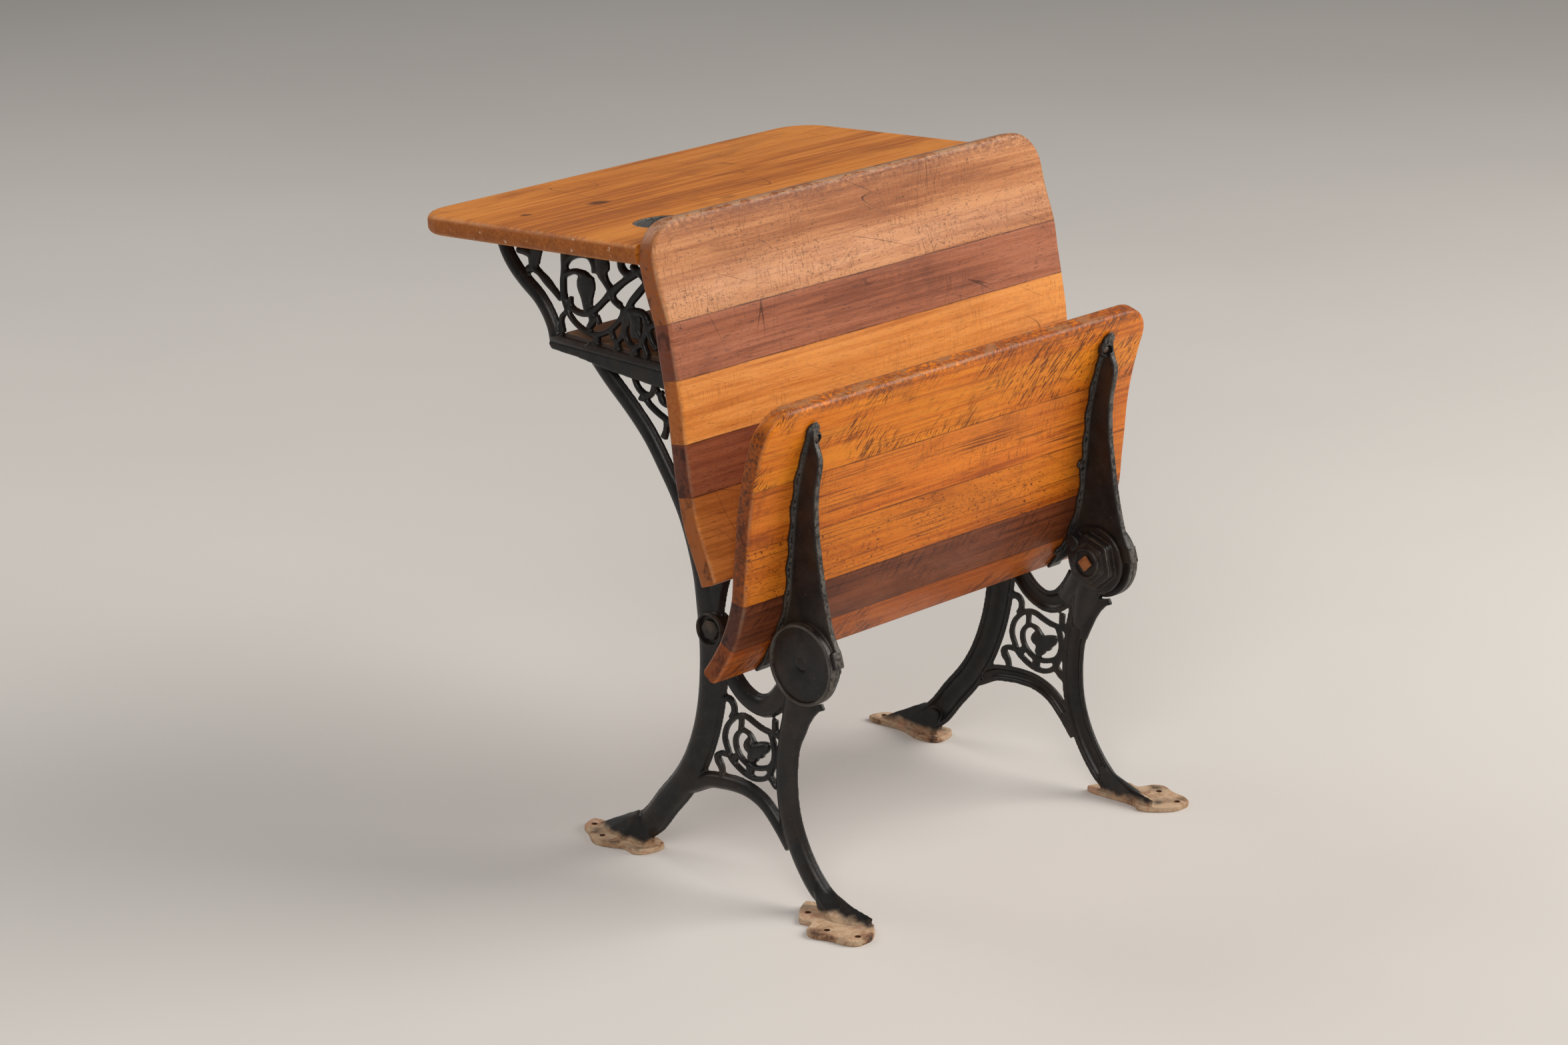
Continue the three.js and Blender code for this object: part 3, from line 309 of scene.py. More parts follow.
def make(name: str, shells: Iterable[Shell], mirror: bool = False) -> bpy.types.Object:
    """Makes one object of shells.

    Args:
        name: the object's name.
        shells: the closed shells, in millimetres.
        mirror: whether X is turned round.

    Returns:
        The object, linked to the scene.
    """
    points, faces, count = [], [], 0
    for shell_points, shell_faces in shells:
        points.append(shell_points)
        faces += [[index + count for index in face] for face in shell_faces]
        count += len(shell_points)
    places = np.vstack(points) * MM
    if mirror:
        places = places * (-1, 1, 1)
    mesh = bpy.data.meshes.new(name)
    mesh.from_pydata(places.tolist(), [], faces)
    work = bmesh.new()
    work.from_mesh(mesh)
    bmesh.ops.recalc_face_normals(work, faces=work.faces)
    return linked(name, mesh, work)


def linked(name: str, mesh: bpy.types.Mesh, work: bmesh.types.BMesh) -> bpy.types.Object:
    """Puts a mesh under construction into the scene.

    Args:
        name: the object's name.
        mesh: the mesh that takes it up.
        work: the mesh under construction, which is used up.

    Returns:
        The object, linked to the scene.
    """
    work.to_mesh(mesh)
    work.free()
    made = bpy.data.objects.new(name, mesh)
    bpy.context.scene.collection.objects.link(made)
    return made


def raise_board(work: bmesh.types.BMesh, outline: Iterable[tuple[float, float]],
                board: float) -> None:
    """Fills an empty mesh under construction with a flat board.

    Args:
        work: the mesh under construction.
        outline: the board's outline, X and Y.
        board: how thick it is.
    """
    base = work.faces.new([work.verts.new((x, y, 0.0)) for x, y in outline])
    raised = bmesh.ops.extrude_face_region(work, geom=[base])["geom"]
    for vert in (v for v in raised if isinstance(v, bmesh.types.BMVert)):
        vert.co.z = board
    bmesh.ops.recalc_face_normals(work, faces=work.faces)


def settle(piece: bpy.types.Object) -> bpy.types.Object:
    """Turns a piece's modifiers into its mesh.

    Args:
        piece: the piece.

    Returns:
        The same piece.
    """
    bpy.context.view_layer.update()
    graph = bpy.context.evaluated_depsgraph_get()
    mesh = bpy.data.meshes.new_from_object(piece.evaluated_get(graph))
    piece.modifiers.clear()
    old, piece.data = piece.data, mesh
    mesh.name = piece.name
    bpy.data.meshes.remove(old)
    return piece


def rounded(piece: bpy.types.Object, width: float, segments: int = 3) -> bpy.types.Object:
    """Rounds a piece's sharp edges.

    Args:
        piece: the piece.
        width: how wide the rounding is, in millimetres.
        segments: in how many steps it turns.

    Returns:
        The same piece.
    """
    bevel = piece.modifiers.new("round", "BEVEL")
    bevel.width, bevel.segments, bevel.limit_method = width * MM, segments, "ANGLE"
    return settle(piece)


def carve(piece: bpy.types.Object, cutters: Iterable[Shell], mirror: bool = False,
          tangled: bool = True) -> None:
    """Cuts shells away from a piece.

    Args:
        piece: what is cut.
        cutters: the closed shells that are cut away.
        mirror: whether the cutters' X is turned round.
        tangled: whether shells of the piece, or of the cutters, overlap each other.
    """
    tool = make("cutter", cutters, mirror)
    whole = piece.data.copy()
    for nudge in NUDGES:
        tool.location = [nudge * MM * share for share in NUDGE_WAY]
        cut = piece.modifiers.new("cut", "BOOLEAN")
        cut.operation, cut.solver, cut.object = "DIFFERENCE", "EXACT", tool
        cut.use_self = tangled
        settle(piece)
        if len(piece.data.polygons) > len(whole.polygons) / 2:
            break
        log.info("cutting %s again", piece.name)
        piece.data = whole.copy()
    bpy.data.meshes.remove(whole)
    bpy.data.objects.remove(tool)


def fuse(piece: bpy.types.Object, grain: float, rounds: int, kept: float) -> None:
    """Melts a piece's shells into one cast skin with soft corners.

    Args:
        piece: the piece.
        grain: the voxel size, in millimetres.
        rounds: how often it is smoothed.
        kept: the share of faces that stays.
    """
    melt = piece.modifiers.new("melt", "REMESH")
    melt.mode, melt.voxel_size = "VOXEL", grain * MM * 1.0
    soften = piece.modifiers.new("soften", "SMOOTH")
    soften.factor, soften.iterations = 0.5, rounds
    thin = piece.modifiers.new("thin", "DECIMATE")
    thin.ratio = kept
    settle(piece)
    shade(piece)


def join(first: bpy.types.Object, *others: bpy.types.Object) -> None:
    """Puts the meshes of other pieces into the first.

    Args:
        first: the piece that takes them up.
        others: the pieces that go into it.
    """
    work = bmesh.new()
    for piece in (first, *others):
        work.from_mesh(piece.data)
    work.to_mesh(first.data)
    work.free()
    for piece in others:
        bpy.data.objects.remove(piece)


def hold_inside(piece: bpy.types.Object) -> None:
    """Presses what the melt has pushed out of the CAD box back into it.

    Args:
        piece: the piece.
    """
    places = np.empty(len(piece.data.vertices) * 3)
    piece.data.vertices.foreach_get("co", places)
    low, high = (np.array(corner) for corner in CAD_BOX)
    places = np.clip(places.reshape(-1, 3), low, high)
    piece.data.vertices.foreach_set("co", places.ravel())
    piece.data.update()


def shade(piece: bpy.types.Object, angle: float = 180.0) -> None:
    """Shades a piece smoothly, but for its sharp edges.

    Args:
        piece: the piece.
        angle: the angle from which an edge stays sharp, in degrees.
    """
    mesh = piece.data
    mesh.polygons.foreach_set("use_smooth", [True] * len(mesh.polygons))
    if angle < 180.0:
        mesh.set_sharp_from_angle(angle=math.radians(angle))
    mesh.update()


# Finishes


class Shader:
    """A material under construction, with one short call for each kind of node."""

    def __init__(self, name: str) -> None:
        """Starts a material.

        Args:
            name: its name.
        """
        self.material = bpy.data.materials.new(name)
        self.material.use_nodes = True
        self.tree = self.material.node_tree
        self.surface = self.tree.nodes["Principled BSDF"]
        self.places = self.node("ShaderNodeTexCoord").outputs

    def node(self, kind: str, props: dict | None = None, **inputs) -> bpy.types.Node:
        """Adds a node.

        Args:
            kind: its type.
            props: settings of the node.
            inputs: values or sockets for its inputs, with _ for a space, or i0, i1 by number.

        Returns:
            The node.
        """
        made = self.tree.nodes.new(kind)
        for key, value in (props or {}).items():
            setattr(made, key, value)
        for key, value in inputs.items():
            by_number = key[0] == "i" and key[1:].isdigit()
            self.put(made.inputs[int(key[1:]) if by_number else key.replace("_", " ")], value)
        return made

    def put(self, socket: Socket, value: Socket | float | Sequence[float]) -> None:
        """Links a socket to another one, or gives it a constant value.

        Args:
            socket: the input.
            value: what goes into it.
        """
        if isinstance(value, bpy.types.NodeSocket):
            self.tree.links.new(value, socket)
        else:
            socket.default_value = value

    def spread(self, scale: Sequence[float], move: float = 0.0, turn: float = 0.0) -> Socket:
        """Object coordinates, scaled, moved along all axes and turned about Y in degrees."""
        turned = self.node("ShaderNodeMapping", Vector=self.places["Object"],
                           Rotation=(0.0, math.radians(turn), 0.0))
        return self.node("ShaderNodeMapping", Vector=turned.outputs[0], Scale=tuple(scale),
                         Location=(move, move * 1.7, move * 2.3)).outputs[0]

    def noise(self, scale: Sequence[float], move: float = 0.0, detail: float = 2.0,
              rough: float = 0.5, distort: float = 0.0, turn: float = 0.0) -> Socket:
        """Noise from 0 to 1, on coordinates spread by scale, move and turn."""
        return self.node("ShaderNodeTexNoise", Vector=self.spread(scale, move, turn), Scale=1.0,
                         Detail=detail, Roughness=rough, Distortion=distort).outputs[0]

    def band(self, value: Socket, low: float, high: float, start: float = 0.0,
             end: float = 1.0) -> Socket:
        """Maps low to high smoothly onto start to end, and holds the ends."""
        return self.node("ShaderNodeMapRange", {"interpolation_type": "SMOOTHSTEP"}, Value=value,
                         i1=low, i2=high, i3=start, i4=end).outputs[0]

    def sum(self, first: Socket | float, second: Socket | float, kind: str = "ADD",
            third: Socket | float = 0.5) -> Socket:
        """A sum, or another kind of arithmetic on two or three values."""
        return self.node("ShaderNodeMath", {"operation": kind}, i0=first, i1=second,
                         i2=third).outputs[0]

    def times(self, first: Socket | float, second: Socket | float) -> Socket:
        """A product."""
        return self.sum(first, second, "MULTIPLY")

    def mix(self, share: Socket | float, first: Socket | Colour, second: Socket | Colour,
            kind: str = "MIX") -> Socket:
        """Mixes two colours."""
        full = [(*c, 1.0) if isinstance(c, tuple) else c for c in (first, second)]
        return self.node("ShaderNodeMix", {"data_type": "RGBA", "blend_type": kind}, i0=share,
                         i6=full[0], i7=full[1]).outputs[2]

    def ramp(self, value: Socket, stops: Sequence[tuple[float, Colour]]) -> Socket:
        """Colours by value.

        Args:
            value: what picks the colour.
            stops: places from 0 to 1 and their colours.

        Returns:
            The colour.
        """
        made = self.node("ShaderNodeValToRGB", Fac=value)
        band = made.color_ramp.elements
        while len(band) < len(stops):
            band.new(0.5)
        for element, (place, colour) in zip(band, stops):
            element.position, element.color = place, (*colour, 1.0)
        return made.outputs[0]

    def axis(self, vector: Socket, index: int) -> Socket:
        """One number of a vector."""
        return self.node("ShaderNodeSeparateXYZ", Vector=vector).outputs[index]

    def relief(self, heights: Sequence[tuple[Socket, float]]) -> Socket:
        """Lays bumps on bumps.

        Args:
            heights: heights with their depth, in millimetres.

        Returns:
            The normal.
        """
        normal = None
        for height, depth in heights:
            links = {"Height": height, "Distance": depth * MM, "Strength": 1.0}
            if normal is not None:
                links["Normal"] = normal
            normal = self.node("ShaderNodeBump", **links).outputs[0]
        return normal

    def close(self, colour: Socket, roughness: Socket | float, normal: Socket | None,
              **constants: float) -> bpy.types.Material:
        """Joins everything to the surface.

        Args:
            colour: the base colour.
            roughness: the roughness.
            normal: the relief, if there is one.
            constants: values for further inputs, with _ for a space.

        Returns:
            The material.
        """
        values = {"Base_Color": colour, "Roughness": roughness, **constants}
        if normal is not None:
            values["Normal"] = normal
        for key, value in values.items():
            self.put(self.surface.inputs[key.replace("_", " ")], value)
        return self.material


class Marks(Enum):
    """What the planer and years of use have left on a strip's face."""

    SLANTED = "short dark flecks that lean to the right"
    LINED = "fine dark lines along the grain and reddish upright stains"
    DOTTED = "small dark pores"
    HATCHED = "fine upright hatching"


@dataclass(frozen=True)
class WornRim:
    """A worn edge along the top of a board, between two heights in millimetres, with a pale polish on its
    upward-facing arris that is partly painted highlight.
    """

    low: float
    high: float
    tone: Colour
    polish_highlight: Colour
    strength: float = 0.8


@dataclass(frozen=True)
class VarnishedWood:
    """Old varnished wood with its grain along X."""

    name: str
    pale: Colour
    body: Colour
    deep: Colour
    half_width: float
    end: Colour = (0.34, 0.088, 0.013)
    end_rub_highlight: Colour = (0.26, 0.16, 0.10)
    pores: float = 0.5
    stains: float = 0.4
    scratches: float = 0.5
    marks: tuple[tuple[Marks, float], ...] = ()
    rim: WornRim | None = None
    chips: float = 0.0
    grime: float = 0.75
    gloss: float = 0.36
    seed: float = 0.0
    knots: tuple[tuple[float, float, float, float], ...] = ()

    def build(self) -> bpy.types.Material:
        """Makes the material.

        Returns:
            The material.
        """
        s = Shader(self.name)
        move = self.seed
        broad = s.noise((2.4, 16, 16), move, 3, 0.55, 0.6)
        streak = s.noise((6, 230, 230), move + 3, 6, 0.62, 0.4)
        tone = s.sum(s.times(broad, 0.5), s.times(streak, 0.5))
        colour = s.ramp(s.band(tone, 0.36, 0.62), [(0.0, self.deep), (0.42, self.body), (1.0, self.pale)])
        fleck = s.band(s.noise((420, 420, 36), move + 5, 1), 0.62, 0.72)
        colour = s.mix(s.times(fleck, 0.14), colour, self.pale)
        pore = s.band(s.noise((150, 1250, 1250), move + 7, 2, 0.6), 0.57, 0.70)
        pit = s.band(s.noise((60, 800, 800), move + 2, 1), 0.66, 0.72)
        dark = s.sum(s.times(pore, self.pores), s.times(pit, self.pores * 0.8))
        colour = s.mix(dark, colour, self.shadow(0.34))
        cloud = s.noise((8, 14, 14), move + 11, 5, 0.62, 0.8)
        stain = s.times(s.band(cloud, 0.50, 0.74), self.stains)
        colour = s.mix(stain, colour, self.shadow(0.5))
        height = [(streak, 0.08), (s.sum(1.0, dark, "SUBTRACT"), 0.07)]
        face = s.band(s.axis(s.places["Normal"], 1), -0.05, -0.5)
        for kind, strength in self.marks:
            mark, tint = self.marked(s, kind)
            mark = s.times(s.times(mark, face), strength)
            colour = s.mix(mark, colour, tint)
            height.append((s.sum(1.0, mark, "SUBTRACT"), 0.12))
        glue = s.node("ShaderNodeAttribute", {"attribute_name": "glue_line"}).outputs["Fac"]
        line = s.band(glue, 0.62, 0.92)
        broken = s.band(s.noise((26, 0, 0), move + 19, 3, 0.7), 0.36, 0.60, 0.25, 0.85)
        colour = s.mix(s.times(line, broken), colour, self.shadow(0.30))
        scratch = self.scratched(s)
        colour = s.mix(s.times(scratch, self.scratches), colour, self.shadow(0.16))
        height.append((s.sum(1.0, scratch, "SUBTRACT"), 0.10))
        # worn is the share of the rubbed end arrises, wear and painted highlight; it also roughens the
        # varnish.
        colour, worn = self.edges(s, colour)
        if self.rim:
            colour = self.rimmed(s, colour, self.rim)
        for knot in self.knots:
            colour = self.knotted(s, colour, knot)
        matt = s.noise((40, 90, 90), move + 13, 4, 0.6)
        rough = s.sum(s.band(matt, 0.3, 0.7, self.gloss - 0.04, self.gloss + 0.08),
                      s.times(worn, 0.12))
        return s.close(colour, rough, s.relief(height), Specular_IOR_Level=0.25, Coat_Weight=0.04,
                       Coat_Roughness=0.2)

    def shadow(self, share: float) -> Colour:
        """A darker tone of the deep colour, a little greyer."""
        red, green, blue = self.deep
        return (red * share, green * share * 1.03, blue * share * 1.15 + 0.002)

    def marked(self, s: Shader, kind: Marks) -> tuple[Socket, Colour]:
        """Draws one kind of marks.

        Args:
            s: the material.
            kind: the kind of marks.

        Returns:
            Where the marks are, from 0 to 1, and their colour.
        """
        seed = self.seed + 17
        if kind is Marks.SLANTED:
            found = None
            for index, (turn, wide, long, level) in enumerate(
                    ((-30, 380, 46, 0.555), (-16, 620, 95, 0.58), (-42, 260, 36, 0.57))):
                fleck = s.noise((wide, 0, long), seed + 6 * index, 3, 0.62, 0.5, turn=turn)
                fleck = s.band(fleck, level, level + 0.07)
                found = fleck if found is None else s.sum(found, fleck, "MAXIMUM")
            patch = s.band(s.noise((13, 0, 21), seed + 2, 4, 0.6, 0.4), 0.43, 0.58)
            return s.times(found, patch), self.shadow(0.22)
        if kind is Marks.LINED:
            lines = s.band(s.noise((7, 0, 480), seed + 23, 3, 0.65), 0.52, 0.62)
            patch = s.band(s.noise((9, 0, 34), seed + 27, 3), 0.40, 0.60)
            stain = s.band(s.noise((52, 0, 13), seed + 29, 4, 0.65, turn=-6), 0.54, 0.74)
            both = s.sum(s.times(lines, patch), s.times(stain, 0.55), "MAXIMUM")
            return both, self.shadow(0.42)
        if kind is Marks.DOTTED:
            dots = s.band(s.noise((250, 0, 420), seed + 33, 2, 0.6), 0.60, 0.67)
            patch = s.band(s.noise((17, 0, 24), seed + 35, 3), 0.38, 0.60)
            return s.times(dots, patch), self.shadow(0.28)
        hatch = s.band(s.noise((620, 0, 70), seed + 37, 3, 0.6, turn=-4), 0.53, 0.66)
        patch = s.band(s.noise((12, 0, 15), seed + 39, 3), 0.42, 0.64)
        return s.times(hatch, patch), self.shadow(0.46)

    def scratched(self, s: Shader) -> Socket:
        """Thin straight scratches in a few directions.

        Args:
            s: the material.

        Returns:
            Where the scratches are, from 0 to 1.
        """
        found = None
        for index, turn in enumerate((33.0, -21.0, 71.0, -62.0)):
            wander = s.noise((3.0, 3.0, 42.0), self.seed + 31 + index * 9, 0, turn=turn)
            away = s.sum(s.sum(wander, 0.5, "SUBTRACT"), 0.0, "ABSOLUTE")
            line = s.band(away, 0.0045, 0.0012)
            here = s.band(s.noise((9, 9, 9), self.seed + 41 + index * 5, 1), 0.56, 0.66)
            line = s.times(line, here)
            found = line if found is None else s.sum(found, line, "MAXIMUM")
        return found

    def edges(self, s: Shader, colour: Socket) -> tuple[Socket, Socket]:
        """Paints the end grain, rubs its corners with a pale tone that is wear and painted highlight, and
        chips them.

        Args:
            s: the material.
            colour: the colour so far.

        Returns:
            The new colour and the share of the rubbed corners, wear and painted highlight.
        """
        facing = s.sum(s.axis(s.places["Normal"], 0), 0.0, "ABSOLUTE")
        ring = s.noise((70, 260, 260), self.seed + 3, 4, 0.7)
        grime = s.noise((30, 62, 62), self.seed + 6, 5, 0.65, 0.4)
        grain = s.mix(s.band(ring, 0.35, 0.7), self.shadow(0.8), self.end)
        grain = s.mix(s.times(s.band(grime, 0.50, 0.62), self.grime), grain, self.shadow(0.22))
        colour = s.mix(s.band(facing, 0.62, 0.95), colour, grain)
        aside = s.sum(s.axis(s.places["Object"], 0), 0.0, "ABSOLUTE")
        ragged = s.sum(aside, s.times(s.noise((30, 70, 70), self.seed, 3), 0.012))
        near = s.band(ragged, self.half_width * MM - 0.002, self.half_width * MM + 0.007)
        # The rounded arrises at the ends get a pale rub: wear and painted highlight.
        arris_rub_highlight = s.times(near, s.times(s.band(facing, 0.20, 0.50), s.band(facing, 0.92, 0.70)))
        bare_sheen = s.band(s.noise((60, 60, 60), self.seed + 4, 4, 0.7), 0.40, 0.62)
        colour = s.mix(s.times(s.times(arris_rub_highlight, bare_sheen), 0.5), colour, self.end_rub_highlight)
        if self.chips:
            chip = s.band(s.noise((75, 120, 170), self.seed + 8, 4, 0.7), 0.655, 0.675)
            chip = s.times(s.times(chip, near), self.chips)
            colour = s.mix(chip, colour, (0.70, 0.56, 0.42))
        return colour, arris_rub_highlight

    def rimmed(self, s: Shader, colour: Socket, rim: WornRim) -> Socket:
        """Adds the dark worn band along the top edge, and the polish and chips on its upward-facing arris;
        the polish is wear and painted highlight.

        Args:
            s: the material.
            colour: the colour so far.
            rim: the band and its tones.

        Returns:
            The new colour.
        """
        up = s.axis(s.places["Object"], 2)
        wander = s.noise((26, 40, 40), self.seed + 51, 4, 0.65)
        ragged = s.sum(up, s.times(s.sum(wander, 0.5, "SUBTRACT"), 0.022))
        band = s.band(ragged, rim.low * MM, rim.high * MM)
        speck = s.band(s.noise((190, 260, 260), self.seed + 53, 4, 0.7), 0.36, 0.60)
        share = s.times(s.times(band, speck), rim.strength)
        colour = s.mix(share, colour, rim.tone)
        # Pale polish on faces turned upward along the top arris: wear and painted highlight.
        top = s.band(s.axis(s.places["Normal"], 2), 0.45, 0.80)
        bare_sheen = s.band(s.noise((34, 90, 90), self.seed + 57, 4, 0.7), 0.47, 0.56)
        bare_sheen = s.times(s.times(top, bare_sheen), s.band(up, (rim.high - 12) * MM, rim.high * MM))
        return s.mix(s.times(bare_sheen, 0.7), colour, rim.polish_highlight)

    def knotted(self, s: Shader, colour: Socket, knot: tuple[float, float, float, float]) -> Socket:
        """Adds a dark knot or stain.

        Args:
            s: the material.
            colour: the colour so far.
            knot: its X, Y and radius in millimetres, and its strength.

        Returns:
            The new colour.
        """
        x, y, radius, strength = knot
        wander = s.node("ShaderNodeVectorMath", {"operation": "ADD"}, i0=s.places["Object"],
                        i1=s.node("ShaderNodeVectorMath", {"operation": "SCALE"},
                                  i0=s.node("ShaderNodeTexNoise", Vector=s.spread((60, 60, 60)),
                                            Scale=1.0).outputs[1], Scale=0.008).outputs[0])
        flat = s.node("ShaderNodeMapping", Vector=wander.outputs[0],
                      Location=(-(x + 4) * MM * 0.7, -(y + 4) * MM, 0.0), Scale=(0.7, 1.0, 0.0))
        away = s.node("ShaderNodeVectorMath", {"operation": "LENGTH"}, i0=flat.outputs[0])
        spot = s.band(away.outputs["Value"], radius * MM, radius * MM * 0.35)
        return s.mix(s.times(spot, strength), colour, self.shadow(0.18))


@dataclass(frozen=True)
class CastIron:
    """Cast iron under worn black paint, rusty where it meets the floor; off the floor, faces turned to the
    front get a painted highlight of light grainy grey.
    """

    name: str
    paint: Colour = (0.0085, 0.0080, 0.0080)
    rubbed: Colour = (0.125, 0.088, 0.062)
    dust: Colour = (0.038, 0.023, 0.014)
    front_highlight: Colour = (0.135, 0.120, 0.108)
    floor: bool = False

    def build(self) -> bpy.types.Material:
        """Makes the material.

        Returns:
            The material.
        """
        s = Shader(self.name)
        sand = s.noise((900, 900, 900), 0, 4, 0.65)
        lump = s.noise((80, 80, 80), 5, 3, 0.55)
        colour = s.mix(s.band(lump, 0.35, 0.7), self.paint, tuple(c * 1.8 for c in self.paint))
        haze = s.band(s.noise((17, 17, 17), 7, 4, 0.6), 0.48, 0.72)
        colour = s.mix(s.times(haze, 0.6), colour, self.dust)
        edge = s.node("ShaderNodeNewGeometry").outputs["Pointiness"]
        patch = s.noise((46, 46, 46), 9, 4, 0.6)
        worn = s.times(s.band(edge, 0.52, 0.60), s.band(patch, 0.42, 0.62))
        colour = s.mix(s.times(worn, 0.5), colour, self.rubbed)
        speck = s.band(s.noise((380, 380, 380), 2, 1), 0.70, 0.76)
        colour = s.mix(s.times(speck, 0.3), colour, self.rubbed)
        rough = s.sum(s.band(sand, 0.3, 0.7, 0.27, 0.42), s.times(worn, 0.2))
        height = [(lump, 0.08 if self.floor else 0.18), (sand, 0.10)]
        if self.floor:
            colour, rough, flake = self.rusted(s, colour, rough)
            height.append((flake, 0.05))
        else:
            # Painted highlight: faces turned to the front get a light grainy grey, as if lit.
            ahead = s.band(s.axis(s.places["Normal"], 1), -0.72, -0.95)
            front_highlight_mask = s.times(ahead, s.band(s.noise((240, 240, 240), 6, 3, 0.7), 0.38, 0.62))
            colour = s.mix(s.times(front_highlight_mask, 0.7), colour, self.front_highlight)
        return s.close(colour, rough, s.relief(height), Metallic=0.0, Specular_IOR_Level=0.34)

    @staticmethod
    def rusted(s: Shader, colour: Socket, rough: Socket) -> tuple[Socket, Socket, Socket]:
        """Adds tan and pinkish rust where the feet stand.

        Args:
            s: the material.
            colour: the colour so far.
            rough: the roughness so far.

        Returns:
            The new colour, the new roughness and the height of the flakes.
        """
        high = s.axis(s.places["Object"], 2)
        ragged = s.sum(high, s.times(s.noise((42, 42, 42), 3, 4), 0.024))
        low = s.band(ragged, 0.0245, 0.0165)
        flake = s.noise((38, 38, 38), 12, 5, 0.60, 0.5)
        fine = s.noise((300, 300, 300), 15, 4, 0.7)
        both = s.sum(s.times(flake, 0.78), s.times(fine, 0.22))
        rust = s.ramp(both, [(0.31, (0.035, 0.028, 0.026)), (0.38, (0.19, 0.095, 0.050)),
                             (0.44, (0.40, 0.245, 0.145)), (0.53, (0.53, 0.390, 0.260)),
                             (0.60, (0.45, 0.245, 0.150)), (0.68, (0.62, 0.470, 0.350))])
        colour = s.mix(low, colour, rust)
        return colour, s.sum(rough, s.times(low, 0.45)), fine


@dataclass(frozen=True)
class OldMetal:
    """Bare metal gone dull, with rust in patches."""

    name: str
    metal: Colour
    rust: Colour
    amount: float
    shine: float = 0.42
    metallic: float = 0.7

    def build(self) -> bpy.types.Material:
        """Makes the material.

        Returns:
            The material.
        """
        s = Shader(self.name)
        fine = s.noise((1100, 1100, 1100), 0, 4, 0.65)
        patch = s.noise((210, 210, 210), 4, 5, 0.65)
        tone = s.mix(s.band(fine, 0.3, 0.7), tuple(c * 0.65 for c in self.metal), self.metal)
        share = s.band(patch, 0.62 - self.amount * 0.4, 0.70 - self.amount * 0.3)
        colour = s.mix(share, tone, self.rust)
        rough = s.sum(s.band(fine, 0.3, 0.7, self.shine, self.shine + 0.15),
                      s.times(share, 0.3))
        return s.close(colour, rough, s.relief([(patch, 0.15), (fine, 0.06)]),
                       Metallic=self.metallic)


@dataclass(frozen=True)
class PaleFloor:
    """The plain pale floor of the studio."""

    name: str = "pale_floor"
    tone: Colour = (0.62, 0.60, 0.58)

    def build(self) -> bpy.types.Material:
        """Makes the material.

        Returns:
            The material.
        """
        s = Shader(self.name)
        cloud = s.noise((1.4, 1.4, 1.4), 0, 3)
        colour = s.mix(s.band(cloud, 0.2, 0.8), self.tone, tuple(c * 1.05 for c in self.tone))
        return s.close(colour, 0.85, None, Specular_IOR_Level=0.2)


